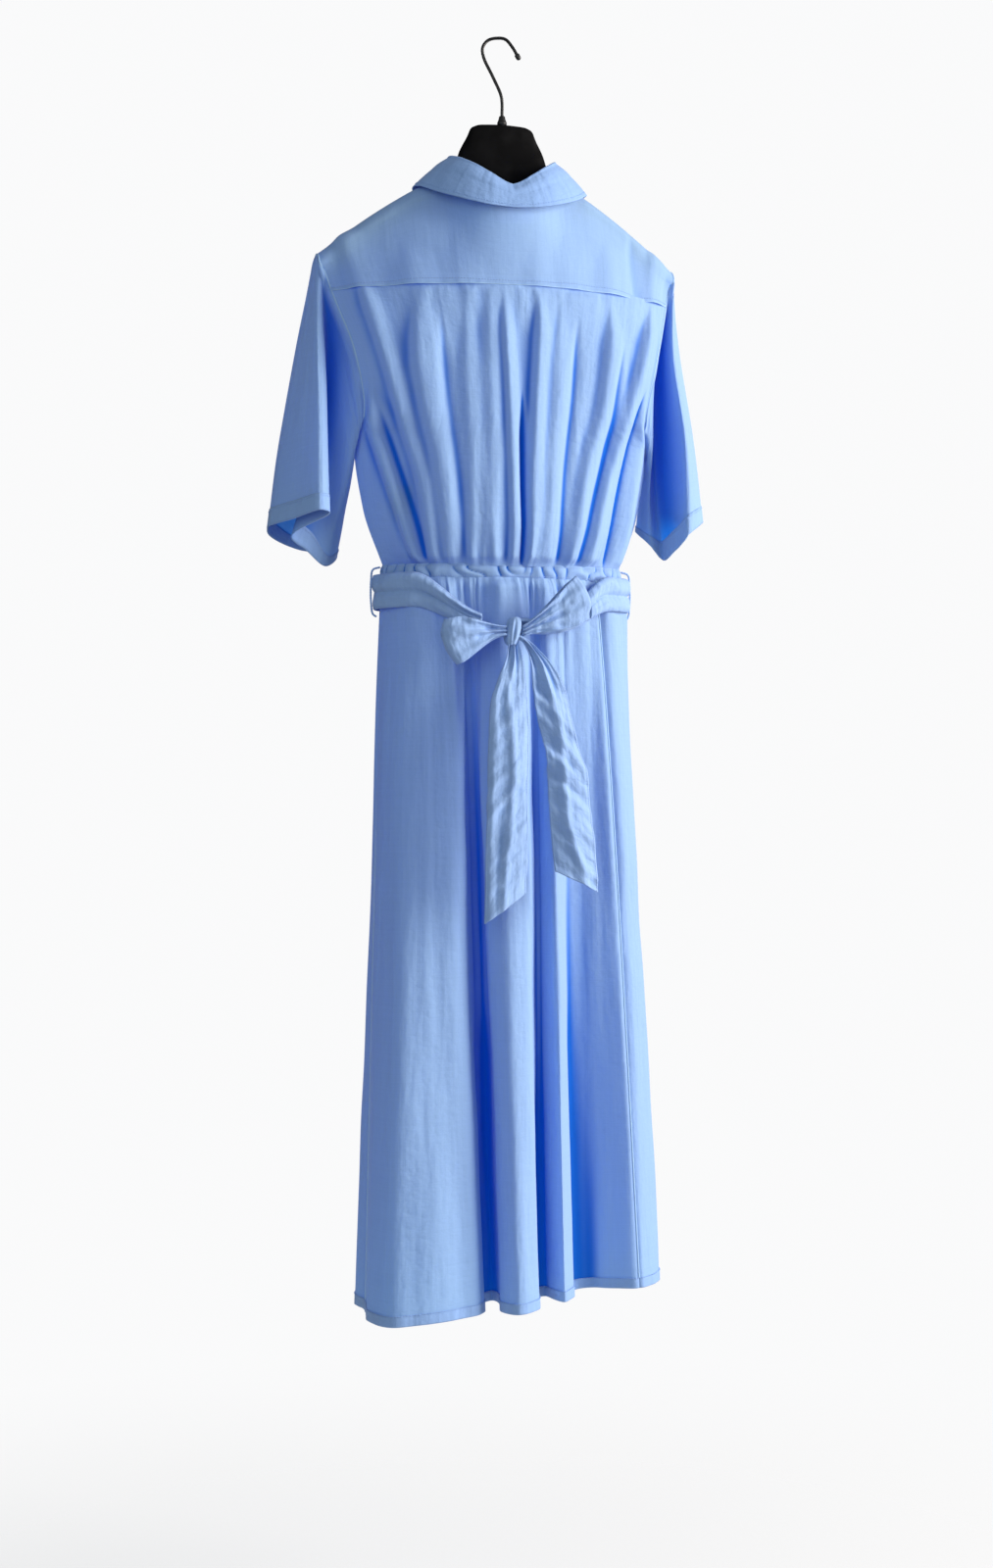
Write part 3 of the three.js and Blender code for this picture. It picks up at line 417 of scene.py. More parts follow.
@dataclass(frozen=True)
class Stitching:
    """A run of lockstitch: small raised dashes of thread that lie in the cloth.

    Attributes:
        pitch: From one stitch to the next.
        length: Of one stitch.
        thick: Half the thread's thickness.
    """

    pitch: float = 3.2
    length: float = 2.5
    thick: float = 0.32

    def sew(self, name: str, line: Array, facing: Array) -> bpy.types.Object:
        """Lays the stitches.

        Args:
            name: The piece's name.
            line: The seam's points, in millimetres.
            facing: The cloth's normal at each point.

        Returns:
            The new object.
        """
        along = distances(line)
        count = max(2, int(along[-1] / self.pitch))
        centre = (np.arange(count) + 0.5) * along[-1] / count
        place, tip, up = (
            np.stack([np.interp(at, along, values[:, k]) for k in range(3)], axis=1)
            for at, values in ((centre, line), (centre + self.length / 2, line), (centre, facing))
        )
        heading, up = unit(tip - place + 1e-9), unit(up)
        side = unit(np.cross(up, heading))
        place = place + up * self.thick * 0.6
        half = self.length / 2
        ends = [place - heading * half, place + heading * half]
        belts = [
            place + heading * shift + side * self.thick * math.cos(a) + up * self.thick * math.sin(a)
            for shift in (-half * 0.6, half * 0.6)
            for a in np.linspace(0, TAU, 6, endpoint=False)
        ]
        points = np.stack([*ends, *belts], axis=1)
        one = []
        for i in range(6):
            n = (i + 1) % 6
            one += [(0, 2 + n, 2 + i), (1, 8 + i, 8 + n), (2 + i, 2 + n, 8 + n), (2 + i, 8 + n, 8 + i)]
        faces = (np.array(one)[None] + (np.arange(count) * points.shape[1])[:, None, None]).reshape(-1, 3)
        mesh = bpy.data.meshes.new(name)
        mesh.from_pydata((points.reshape(-1, 3) * MM).tolist(), [], faces.tolist())
        mesh.update()
        mesh.shade_smooth()
        piece = bpy.data.objects.new(name, mesh)
        bpy.context.scene.collection.objects.link(piece)
        return piece


# ---------------------------------------------------------------- shader groups


class Socket(Enum):
    """The kinds of socket that the groups have."""

    NUMBER = "NodeSocketFloat"
    COLOUR = "NodeSocketColor"
    VECTOR = "NodeSocketVector"


@dataclass
class NodeBench:
    """Makes and joins shader nodes in one tree."""

    tree: bpy.types.NodeTree

    def node(self, kind: str, **settings: object) -> bpy.types.Node:
        """A new node with its settings."""
        made = self.tree.nodes.new(kind)
        for key, value in settings.items():
            setattr(made, key, value)
        return made

    def join(self, source: bpy.types.NodeSocket, target: bpy.types.NodeSocket) -> None:
        """Links one socket to another."""
        self.tree.links.new(source, target)

    def math(self, operation: str, *values: object) -> bpy.types.NodeSocket:
        """The output of a Math node on sockets or numbers."""
        made = self.node("ShaderNodeMath", operation=operation)
        for socket, value in zip(made.inputs, values):
            if isinstance(value, bpy.types.NodeSocket):
                self.join(value, socket)
            else:
                socket.default_value = value
        return made.outputs[0]

    def blend(self, share: object, first: object, second: object) -> bpy.types.NodeSocket:
        """The output of a colour Mix node."""
        made = self.node("ShaderNodeMix", data_type="RGBA")
        for socket, value in ((made.inputs[0], share), (made.inputs[6], first), (made.inputs[7], second)):
            if isinstance(value, bpy.types.NodeSocket):
                self.join(value, socket)
            else:
                socket.default_value = value
        return made.outputs[2]

    def noise(self, vector: bpy.types.NodeSocket, scale: float,
              detail: float = 2.0) -> bpy.types.NodeSocket:
        """The output of a Noise node."""
        made = self.node("ShaderNodeTexNoise")
        made.inputs["Scale"].default_value = scale
        made.inputs["Detail"].default_value = detail
        self.join(vector, made.inputs["Vector"])
        return made.outputs["Fac"]

    def stretch(self, vector: bpy.types.NodeSocket, scale: Point,
                turn: float = 0.0) -> bpy.types.NodeSocket:
        """The output of a Mapping node."""
        made = self.node("ShaderNodeMapping")
        made.inputs["Scale"].default_value = scale
        made.inputs["Rotation"].default_value = (0, 0, turn)
        self.join(vector, made.inputs["Vector"])
        return made.outputs[0]


def new_group(
    name: str, inputs: Sequence[tuple[str, Socket, float]], outputs: Sequence[tuple[str, Socket]]
) -> tuple[NodeBench, bpy.types.Node, bpy.types.Node]:
    """A shader node group with named sockets.

    Args:
        name: The group's name.
        inputs: Each input's name, kind and starting value.
        outputs: Each output's name and kind.

    Returns:
        The bench for its nodes, its input node and its output node.
    """
    tree = bpy.data.node_groups.new(name, "ShaderNodeTree")
    for label, kind, start in inputs:
        socket = tree.interface.new_socket(label, in_out="INPUT", socket_type=kind.value)
        if kind is Socket.NUMBER:
            socket.default_value = start
    for label, kind in outputs:
        tree.interface.new_socket(label, in_out="OUTPUT", socket_type=kind.value)
    bench = NodeBench(tree)
    return bench, bench.node("NodeGroupInput"), bench.node("NodeGroupOutput")


def weave_group() -> bpy.types.NodeTree:
    """Plain weave on the flat cut: crossing threads, and slubs that run along them."""
    bench, given, out = new_group(
        "plain_weave",
        [("Pitch", Socket.NUMBER, 0.0006), ("Slub", Socket.NUMBER, 1.0)],
        [("Height", Socket.NUMBER), ("Tone", Socket.NUMBER)],
    )
    cut = bench.node("ShaderNodeUVMap", uv_map="cut").outputs[0]
    split = bench.node("ShaderNodeSeparateXYZ")
    bench.join(cut, split.inputs[0])
    turns = [
        bench.math("MULTIPLY", bench.math("DIVIDE", split.outputs[k], given.outputs["Pitch"]), TAU)
        for k in (0, 1)
    ]
    crossing = bench.math("MULTIPLY", bench.math("SINE", turns[0]), bench.math("SINE", turns[1]))
    warp = bench.noise(bench.stretch(cut, (900, 14, 1)), 1.0, 3.0)
    weft = bench.noise(bench.stretch(cut, (10, 700, 1)), 1.0, 3.0)
    slubs = bench.math("SUBTRACT", bench.math("ADD", warp, weft), 1.0)
    slubs = bench.math("MULTIPLY", slubs, given.outputs["Slub"])
    height = bench.math("ADD", bench.math("MULTIPLY", crossing, 0.25), slubs)
    bench.join(height, out.inputs["Height"])
    bench.join(slubs, out.inputs["Tone"])
    return bench.tree


def crumple_group() -> bpy.types.NodeTree:
    """Soft creases of worn, ironed cotton, on the flat cut."""
    bench, given, out = new_group(
        "cotton_creases",
        [("Amount", Socket.NUMBER, 1.0), ("Length", Socket.NUMBER, 1.0)],
        [("Height", Socket.NUMBER)],
    )
    cut = bench.node("ShaderNodeUVMap", uv_map="cut").outputs[0]
    long = bench.noise(bench.stretch(cut, (60, 9, 1), 0.12), 1.0, 2.0)
    cross = bench.noise(bench.stretch(cut, (38, 46, 1), 0.7), 1.0, 3.0)
    fine = bench.noise(bench.stretch(cut, (160, 120, 1)), 1.0, 2.0)
    creases = bench.math("ABSOLUTE", bench.math("SUBTRACT", cross, 0.5))
    total = bench.math("MULTIPLY", long, given.outputs["Length"])
    total = bench.math("ADD", total, bench.math("MULTIPLY", creases, 0.7))
    total = bench.math("ADD", total, bench.math("MULTIPLY", fine, 0.18))
    bench.join(bench.math("MULTIPLY", total, given.outputs["Amount"]), out.inputs["Height"])
    return bench.tree


def fold_group() -> bpy.types.NodeTree:
    """Painted shade: how strongly the dark fold colour is painted into the bottom of a fold."""
    bench, given, out = new_group(
        "fold_depth", [("Strength", Socket.NUMBER, 1.0)], [("Mask", Socket.NUMBER)]
    )
    valley = bench.node("ShaderNodeAttribute", attribute_name="valley").outputs["Fac"]
    bent = bench.math("POWER", valley, 1.3)
    made = bench.math("MULTIPLY", bent, given.outputs["Strength"])
    bench.join(bench.math("MINIMUM", made, 1.0), out.inputs["Mask"])
    return bench.tree


def grain_group() -> bpy.types.NodeTree:
    """Fine moulded or sprayed grain on a hard piece, in its own place."""
    bench, given, out = new_group(
        "moulded_grain",
        [("Scale", Socket.NUMBER, 900.0), ("Wear", Socket.NUMBER, 0.2)],
        [("Height", Socket.NUMBER), ("Rubbed", Socket.NUMBER)],
    )
    place = bench.node("ShaderNodeTexCoord").outputs["Object"]
    fine = bench.node("ShaderNodeTexNoise")
    bench.join(place, fine.inputs["Vector"])
    bench.join(given.outputs["Scale"], fine.inputs["Scale"])
    fine.inputs["Detail"].default_value = 3.0
    patches = bench.noise(place, 38.0, 4.0)
    rubbed = bench.math("SUBTRACT", patches, 0.45)
    rubbed = bench.math("MULTIPLY", bench.math("MAXIMUM", rubbed, 0.0), given.outputs["Wear"])
    bench.join(fine.outputs["Fac"], out.inputs["Height"])
    bench.join(rubbed, out.inputs["Rubbed"])
    return bench.tree


class Effects:
    """The shader groups that the finishes share, each built once."""

    makers = {"weave": weave_group, "creases": crumple_group, "folds": fold_group, "grain": grain_group}
    made: dict[str, bpy.types.NodeTree] = {}

    @classmethod
    def place(cls, bench: NodeBench, which: str, **values: float) -> bpy.types.Node:
        """Puts a shared group in a material.

        Args:
            bench: The material's bench.
            which: The group's key in makers.
            values: Its input values, by name.

        Returns:
            The group's node.
        """
        if which not in cls.made:
            cls.made[which] = cls.makers[which]()
        node = bench.node("ShaderNodeGroup", node_tree=cls.made[which])
        for label, value in values.items():
            node.inputs[label].default_value = value
        return node


def linear(colour: tuple[int, int, int]) -> tuple[float, float, float, float]:
    """A display colour, 0 to 255, as scene-linear numbers."""
    share = [c / 255 for c in colour]
    return (*[c / 12.92 if c <= 0.04045 else ((c + 0.055) / 1.055) ** 2.4 for c in share], 1.0)


def new_material(name: str) -> tuple[bpy.types.Material, NodeBench, bpy.types.Node, bpy.types.Node]:
    """A node material with its surface shader and its output."""
    material = bpy.data.materials.new(name)
    material.use_nodes = True
    bench = NodeBench(material.node_tree)
    nodes = material.node_tree.nodes
    return material, bench, nodes["Principled BSDF"], nodes["Material Output"]


@dataclass(frozen=True)
class CottonFinish:
    """Fine pale-blue cotton: plain weave, soft creases, light that comes through it, and painted shade: a
    dark, saturated colour painted into the bottom of its folds.

    Attributes:
        name: The material's name.
        crest: Colour of the open cloth.
        deep: Colour painted into the bottom of its folds as shade: the dark, saturated blue of shaded and
            bounced light.
        through: Colour of the light that passes it.
        sheer: Share of the light that passes it.
        fold: How strongly the painted shade in its folds colours it.
        crease: Height of its creases, in millimetres.
    """

    name: str = "cotton"
    crest: tuple[int, int, int] = (162, 198, 236)
    deep: tuple[int, int, int] = (0, 104, 206)
    through: tuple[int, int, int] = (8, 134, 244)
    sheer: float = 0.32
    fold: float = 1.0
    crease: float = 1.0

    def make(self) -> bpy.types.Material:
        """The finish as a material."""
        material, bench, cloth, output = new_material(self.name)
        weave = Effects.place(bench, "weave", Pitch=0.0007, Slub=1.0)
        creases = Effects.place(bench, "creases", Amount=1.0, Length=1.0)
        folds = Effects.place(bench, "folds", Strength=self.fold)
        # Painted shade: the fold mask blends the cloth's colour towards the dark fold colour.
        colour = bench.blend(folds.outputs["Mask"], linear(self.crest), linear(self.deep))
        tone = bench.math("MULTIPLY_ADD", weave.outputs["Tone"], 0.12, 1.0)
        shade = bench.node("ShaderNodeMix", data_type="RGBA", blend_type="MULTIPLY")
        shade.inputs[0].default_value = 1.0
        grey = bench.node("ShaderNodeCombineColor")
        for k in range(3):
            bench.join(tone, grey.inputs[k])
        bench.join(colour, shade.inputs[6])
        bench.join(grey.outputs[0], shade.inputs[7])
        bench.join(shade.outputs[2], cloth.inputs["Base Color"])
        rough = bench.math("MULTIPLY_ADD", weave.outputs["Tone"], 0.08, 0.8)
        bench.join(rough, cloth.inputs["Roughness"])
        cloth.inputs["Specular IOR Level"].default_value = 0.25
        cloth.inputs["Sheen Weight"].default_value = 0.12
        cloth.inputs["Sheen Roughness"].default_value = 0.4
        thread = bench.node("ShaderNodeBump")
        thread.inputs["Strength"].default_value = 0.5
        thread.inputs["Distance"].default_value = 0.00018
        bench.join(weave.outputs["Height"], thread.inputs["Height"])
        soft = bench.node("ShaderNodeBump")
        soft.inputs["Strength"].default_value = 0.55
        soft.inputs["Distance"].default_value = self.crease * 0.006
        bench.join(creases.outputs["Height"], soft.inputs["Height"])
        bench.join(thread.outputs[0], soft.inputs["Normal"])
        bench.join(soft.outputs[0], cloth.inputs["Normal"])
        passing = bench.node("ShaderNodeBsdfTranslucent")
        passing.inputs["Color"].default_value = linear(self.through)
        both = bench.node("ShaderNodeMixShader")
        both.inputs[0].default_value = self.sheer
        bench.join(cloth.outputs[0], both.inputs[1])
        bench.join(passing.outputs[0], both.inputs[2])
        bench.join(both.outputs[0], output.inputs["Surface"])
        return material


@dataclass(frozen=True)
class HardFinish:
    """A moulded, lacquered or polished finish on a hard piece.

    Attributes:
        name: The material's name.
        colour: Its colour.
        rubbed: Colour where it is handled.
        rough: Its roughness.
        metal: 1 for bare metal, 0 for the rest.
        coat: Weight of a clear coat.
        grain: Height of its grain, in millimetres.
        grain_scale: How fine the grain is.
        gloss: Its specular level.
    """

    name: str
    colour: tuple[int, int, int]
    rubbed: tuple[int, int, int]
    rough: float
    metal: float = 0.0
    coat: float = 0.0
    grain: float = 0.03
    grain_scale: float = 900.0
    gloss: float = 0.5

    def make(self) -> bpy.types.Material:
        """The finish as a material."""
        material, bench, body, _ = new_material(self.name)
        grain = Effects.place(bench, "grain", Scale=self.grain_scale, Wear=1.6)
        colour = bench.blend(grain.outputs["Rubbed"], linear(self.colour), linear(self.rubbed))
        bench.join(colour, body.inputs["Base Color"])
        rough = bench.math("MULTIPLY_ADD", grain.outputs["Rubbed"], -0.5, self.rough)
        bench.join(rough, body.inputs["Roughness"])
        body.inputs["Metallic"].default_value = self.metal
        body.inputs["Coat Weight"].default_value = self.coat
        body.inputs["Specular IOR Level"].default_value = self.gloss
        bump = bench.node("ShaderNodeBump")
        bump.inputs["Strength"].default_value = 0.4
        bump.inputs["Distance"].default_value = self.grain * MM
        bench.join(grain.outputs["Height"], bump.inputs["Height"])
        bench.join(bump.outputs[0], body.inputs["Normal"])
        return material


class Wardrobe:
    """The finishes, made once and given out by name."""

    def __init__(self) -> None:
        """Makes every finish."""
        self.cotton = CottonFinish(crease=0.7).make()
        self.smooth = CottonFinish("cotton_yoke", crease=0.28).make()
        self.crisp = CottonFinish("cotton_belt", crest=(150, 182, 228), deep=(84, 132, 204), sheer=0.14,
                                  fold=0.7, crease=1.5).make()
        self.hem = CottonFinish("cotton_hem", crest=(140, 174, 224), deep=(78, 130, 206), sheer=0.1,
                                fold=0.6, crease=0.8).make()
        self.cotton_plain = CottonFinish("cotton_seam", sheer=0.05, fold=0.4, crease=0.2).make()
        self.thread = HardFinish("sewing_thread", (134, 168, 222), (160, 190, 235), 0.6, grain=0.05).make()
        self.hanger = HardFinish("hanger_flock", (4, 4, 5), (14, 14, 16), 0.85, grain=0.12,
                                 grain_scale=2600.0, gloss=0.08).make()
        self.hook = HardFinish("hook_lacquer", (12, 12, 13), (46, 44, 42), 0.34, metal=0.6, coat=0.3).make()
        self.rubber = HardFinish("tip_rubber", (10, 10, 11), (24, 24, 25), 0.5).make()
        self.pearl = HardFinish("button_pearl", (176, 203, 240), (214, 228, 250), 0.22, coat=0.5,
                                grain=0.01, grain_scale=60.0).make()
        self.elastic = HardFinish("elastic_knit", (226, 230, 238), (240, 242, 246), 0.85, grain=0.3,
                                  grain_scale=420.0).make()
        self.label = HardFinish("label_tape", (238, 240, 244), (226, 228, 234), 0.7, grain=0.1,
                                grain_scale=1500.0).make()

    def sewn(self, name: str, line: Array, facing: Array,
             stitching: Stitching = Stitching()) -> bpy.types.Object:
        """A run of stitches that rides on the gown.

        Args:
            name: The piece's name.
            line: The seam's points, in millimetres.
            facing: The cloth's normal at each point.
            stitching: The stitches' size.

        Returns:
            The dressed run.
        """
        return dress(stitching.sew(name, line, facing), self.thread, "cotton", "gown")

    def sewn_edges(self, name: str, strip: Sheet) -> list[bpy.types.Object]:
        """The stitching down the two long edges of a front band."""
        return [
            self.sewn(f"{name}_stitching_{side}", strip.points[:, column], strip.normals[:, column])
            for side, column in (("left", 2), ("right", -3))
        ]


def coat(piece: bpy.types.Object, material: bpy.types.Material, slot: str) -> None:
    """Gives a piece its finish."""
    piece.data.materials.clear()
    piece.data.materials.append(material)


def dress(piece: bpy.types.Object, material: bpy.types.Material, slot: str, body: str,
          *nodes: str) -> bpy.types.Object:
    """Gives a piece its finish and its body, and hides the CAD nodes that it stands for."""
    coat(piece, material, slot)
    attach(piece, body)
    if nodes:
        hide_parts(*nodes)
    log.info("%s rides on %s", piece.name, body)
    return piece


def dress_across(piece: bpy.types.Object, material: bpy.types.Material, slot: str,
                 bodies: tuple[str, str], start: Point, end: Point, *nodes: str) -> bpy.types.Object:
    """Gives a piece its finish, fixes its place into its mesh, and hides the CAD nodes that it stands for.
    """
    coat(piece, material, slot)
    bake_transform(piece)
    if nodes:
        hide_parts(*nodes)
    log.info("%s bends between %s and %s", piece.name, *bodies)
    return piece


def declare(cloth: Sheet,
            with_pieces: Sequence[bpy.types.Object] = ()) -> None:
    """Works out the size that a sheet's cloth is cut to, from the grid's own lengths; nothing is done with
    it.
    """
    steps = np.linalg.norm(np.diff(cloth.points, axis=1), axis=2).sum(axis=1)
    falls = np.linalg.norm(np.diff(cloth.points, axis=0), axis=2).sum(axis=0)
    width, length = float(steps.max()) * MM, float(falls.max()) * MM
    down = np.diff(cloth.points, axis=0)[:, :-1]
    side = np.diff(cloth.points, axis=1)[:-1]
    area = float(np.linalg.norm(np.cross(down, side), axis=2).sum()) * MM * MM
    area = min(area, width * length)


# ---------------------------------------------------------------- folds


@dataclass(frozen=True)
class Fold:
    """A fold that runs down a panel.

    Attributes:
        path: Its height and its X there, in pairs.
        width: Half its width.
        height: How far it stands out; less than 0 for a valley.
        lean: Above 0, its flank on the wearer's left is the long one; below 0, the right.
        start: Length over which it rises at its upper end.
    """

    path: Pairs
    width: float
    height: float
    lean: float = 0.0
    start: float = 60.0

    def at(self, x: Array, z: Array) -> Array:
        """Its height at X and Z."""
        high = max(z for z, _ in self.path)
        grown = smooth((high - z) / self.start)
        away = (x - Profile(self.path).at(z)) / (self.width * (0.35 + 0.65 * grown))
        away = away / (1 + self.lean * np.tanh(away * 1.5))
        return self.height * np.exp(-(away**2)) * grown


@dataclass(frozen=True)
class Gathers:
    """Small folds that leave a gathered seam and die away from it.

    Attributes:
        seed: The draw's seed.
        pitch: From one to the next, along the seam.
        height: Of the tallest.
        reach: Length of the longest.
        fan: How far they lean apart, as a share of their distance from the middle.
    """

    seed: int
    pitch: float
    height: float
    reach: float
    fan: float = 0.0

    def at(self, along: Array, away: Array, low: float, high: float) -> Array:
        """Their height.

        Args:
            along: Places along the seam.
            away: Distances from it.
            low: Where the gathering begins along the seam.
            high: Where it ends.

        Returns:
            One height for each place.
        """
        draw = np.random.default_rng(self.seed)
        total = np.zeros_like(along)
        middle = (low + high) / 2
        for place in np.arange(low, high, self.pitch):
            centre = place + draw.uniform(-0.35, 0.35) * self.pitch
            width = self.pitch * draw.uniform(0.26, 0.46)
            reach = self.reach * draw.uniform(0.3, 1.0)
            height = self.height * draw.uniform(0.35, 1.0)
            drift = draw.uniform(-0.05, 0.05) + self.fan * (centre - middle) / max(high - middle, 1.0)
            off = (along - centre - drift * away) / (width * (1 + 0.8 * away / self.reach))
            total += height * np.exp(-(off**2)) * np.exp(-((away / reach) ** 2))
        return total


# ---------------------------------------------------------------- the shape the bodice hangs in

SHOULDER_HALF = 203.0
SHOULDER_Z = -242.0
UNDERARM_Z = -450.0
NECK_HALF = 62.0
NECK_DEPTH = 52.0
NECK_MID_Y = -4.0
NECK_SIDE_Z = -150.0
NECK_Z = {Face.BACK: -178.0, Face.FRONT: -208.0}
YOKE_SEAM_Z = -280.0
WAIST_TOP_Z = -584.0
WAIST_LOW_Z = -596.0
WAIST_HALF = 134.0
WAIST_DEPTH = 58.0
SHOULDER_ROLL = 16.0
NECK_ROLL = 5.0
FORWARD_SEAM = math.radians(55)
PLACKET_HALF = 15.0

RIDGE_Z = Profile(((62, -150), (95.8, -167.5), (149.4, -201.5), (203, -242)))
RIDGE_Y = Profile(((62, -4), (203, -24)))
SEAM_X = {
    Face.BACK: Profile(((-242, 203), (-300, 186.3), (-356, 170), (-419, 159), (-450, 166), (-520, 156.4),
                        (-584, 134))),
    Face.FRONT: Profile(((-242, 203), (-300, 180), (-356, 161.4), (-419, 154), (-450, 166), (-520, 156.4),
                         (-584, 134))),
}
SEAM_Y = {
    Face.BACK: Profile(((-242, -24), (-300, 6), (-367, 26), (-419, 20), (-450, -2), (-584, 0))),
    Face.FRONT: Profile(((-242, -24), (-300, -36), (-367, -44), (-419, -30), (-450, -2), (-584, 0))),
}
MIDDLE_Y = {
    Face.BACK: Profile(((-178, 48), (-280, 58), (-450, 68), (-534, 70), (-584, 58))),
    Face.FRONT: Profile(((-208, -56), (-346, -70), (-450, -74), (-534, -73), (-584, -58))),
}


def neckline(face: Face, x: Array) -> tuple[Array, Array]:
    """Y and Z of the neckline at X."""
    share = np.sqrt(1 - np.clip(x / NECK_HALF, -1, 1) ** 2)
    return NECK_MID_Y + face.value * NECK_DEPTH * share, mix(NECK_SIDE_Z, NECK_Z[face], share**1.4)


def panel_top(face: Face, x: Array) -> tuple[Array, Array, Array]:
    """Y, Z and radius of the roll where a column of a panel starts."""
    away = np.abs(x)
    neck_y, neck_z = neckline(face, x)
    inside = away < NECK_HALF
    roll = mix(NECK_ROLL, SHOULDER_ROLL, smooth((away - NECK_HALF) / 20))
    return (np.where(inside, neck_y, RIDGE_Y.at(away)), np.where(inside, neck_z, RIDGE_Z.at(away)),
            np.where(inside, 0.0, roll))


def half_width(face: Face, z: Array) -> Array:
    """Half the width of a side at height z."""
    return SEAM_X[face].at(z)


def panel_y(face: Face, x: Array, z: Array) -> Array:
    """Y of a panel's smooth surface at X and Z."""
    x, z = np.broadcast_arrays(np.asarray(x, float), np.asarray(z, float))
    top_y, top_z, roll = panel_top(face, x)
    seam_y = SEAM_Y[face].at(np.minimum(z, SHOULDER_Z))
    across = np.clip(np.abs(x) / half_width(face, z), 0, 1)
    body_y = seam_y + (MIDDLE_Y[face].at(z) - seam_y) * (1 - across**2.2) ** 0.85
    start = top_z - roll
    share = np.clip((start - z) / (start - (SHOULDER_Z - 90)), 0, 1)
    return mix(top_y + face.value * roll, body_y, 1 - (1 - share) ** 2)


def panel(face: Face, across: Array, falls: Array, end_z: Array | float, wrap: float,
          start_z: Array | float | None = None) -> Array:
    """A grid of points on one side of the bodice.

    Args:
        face: The back or the front.
        across: Each column's place, as a share of the half width.
        falls: Each row's place, from 0 at the top to 1.
        end_z: Height of each column's lower end.
        wrap: How far round the shoulder's roll the panel starts.
        start_z: Height of its upper end, or None for the shoulder and neckline.

    Returns:
        Rows, columns and X, Y, Z.
    """
    top_x = across * SHOULDER_HALF
    top_y, top_z, roll = panel_top(face, top_x)
    if start_z is None:
        arc, straight = roll * (wrap + math.pi / 2), top_z - roll
    else:
        arc, straight = np.zeros_like(roll), np.broadcast_to(start_z, roll.shape)
    along = falls[:, None] * (arc + straight - end_z)
    angle = along / np.maximum(roll, 1e-6) - wrap
    z = straight - (along - arc)
    x = across * half_width(face, z)
    below = np.stack([x, panel_y(face, x, z), z], axis=2)
    over = np.stack([np.broadcast_to(top_x, z.shape), top_y + face.value * roll * np.sin(angle),
                     top_z - roll * (1 - np.cos(angle))], axis=2)
    return np.where((along < arc)[..., None], over, below)


def mirrored(points: Array, hand: Hand) -> Array:
    """Points made for the wearer's left, moved to a hand's own side."""
    return points * np.array([hand.value, 1, 1])


def outward_y(sign: int) -> Callable[[Array], Array]:
    """A direction for normals: away from the middle plane of the garment."""
    return lambda points: np.broadcast_to(np.array([0.0, sign, 0.25]), points.shape)


def from_axis(points: Array) -> Array:
    """A direction for normals: away from the garment's own axis."""
    return points * np.array([1.0, 1.0, 0.0]) + np.array([0.0, 0.0, 1e-6])


# ---------------------------------------------------------------- bodice

BACK_FOLDS_OF_BODICE = (
    Fold(((-248, 168), (-316, 152), (-405, 127), (-475, 106), (-553, 90), (-590, 85)), 9, 7.5, -0.3),
    Fold(((-380, 160), (-395, 158), (-443, 146), (-506, 127), (-568, 105), (-593, 91)), 8.5, 9, -0.35, 40),
    Fold(((-400, 150), (-443, 136), (-506, 117), (-568, 96), (-593, 84)), 5, -4.5, 0, 50),
    Fold(((-290, 107), (-316, 106), (-364, 105), (-412, 97), (-462, 85), (-522, 76), (-590, 66)),
         15, 8, -0.4),
    Fold(((-300, 84), (-400, 76), (-480, 66), (-590, 56)), 6, -3, 0, 80),
    Fold(((-290, 56), (-380, 54), (-470, 49), (-590, 45)), 11, 4.5, -0.3, 90),
    Fold(((-285, 30), (-313, 30), (-504, 26), (-598, 27)), 11, 4.5, -0.2),
    Fold(((-282, 13), (-300, 13), (-409, 9), (-520, 6), (-592, 3)), 8, 7, -0.35),
    Fold(((-390, -4), (-429, -4), (-597, -6)), 4.2, -7, 0, 60),
    Fold(((-282, -26), (-298, -26), (-408, -20), (-503, -15), (-590, -14)), 9.5, 8.5, -0.4),
    Fold(((-290, -52), (-390, -46), (-480, -38), (-590, -34)), 10, 4.5, -0.3, 80),
    Fold(((-300, -72), (-400, -64), (-500, -52), (-590, -46)), 5.5, -3.5, 0, 80),
    Fold(((-288, -113), (-316, -112), (-402, -101), (-468, -82), (-533, -68), (-590, -58)), 12, 8, -0.4),
    Fold(((-330, -126), (-420, -112), (-500, -92), (-590, -70)), 6, -4, 0, 70),
    Fold(((-281, -171), (-364, -147), (-432, -125), (-499, -101), (-576, -81), (-590, -78)),
         11, 9.5, -0.35),
    Fold(((-370, -157), (-396, -151), (-480, -131), (-577, -112), (-590, -108)), 6, -7, 0, 60),
    Fold(((-370, -164), (-394, -162), (-510, -143), (-576, -128), (-590, -122)), 8, 6, -0.2, 50),
)
YOKE_FOLDS = (
    Fold(((-196, 186), (-240, 172), (-300, 160)), 13, 3.5, -0.3, 30),
    Fold(((-225, 112), (-300, 107)), 20, 3.2, -0.2, 50),
    Fold(((-215, 60), (-300, 58)), 18, 1.6, 0, 60),
    Fold(((-220, -26), (-300, -26)), 16, 2.2, -0.2, 60),
    Fold(((-205, -70), (-300, -66)), 22, 2.2, -0.2, 50),
    Fold(((-210, -118), (-300, -113)), 18, 3.4, -0.2, 60),
    Fold(((-196, -150), (-300, -150)), 9, -2.4, 0, 40),
    Fold(((-206, -180), (-300, -170)), 13, 4.0, -0.3, 40),
)
FRONT_FOLDS_OF_BODICE = (
    Fold(((-260, 150), (-360, 132), (-460, 112), (-590, 92)), 12, 7, 0.3),
    Fold(((-330, 112), (-430, 98), (-590, 74)), 11, 6, 0.3, 90),
    Fold(((-370, 78), (-470, 66), (-590, 54)), 9, 5, 0.3, 90),
    Fold(((-400, 44), (-500, 38), (-590, 34)), 8, 4.5, 0.2, 90),
    Fold(((-400, 140), (-500, 128), (-590, 112)), 8, 7, 0.3, 60),
    Fold(((-420, 128), (-520, 114), (-590, 100)), 5, -4, 0, 60),
)


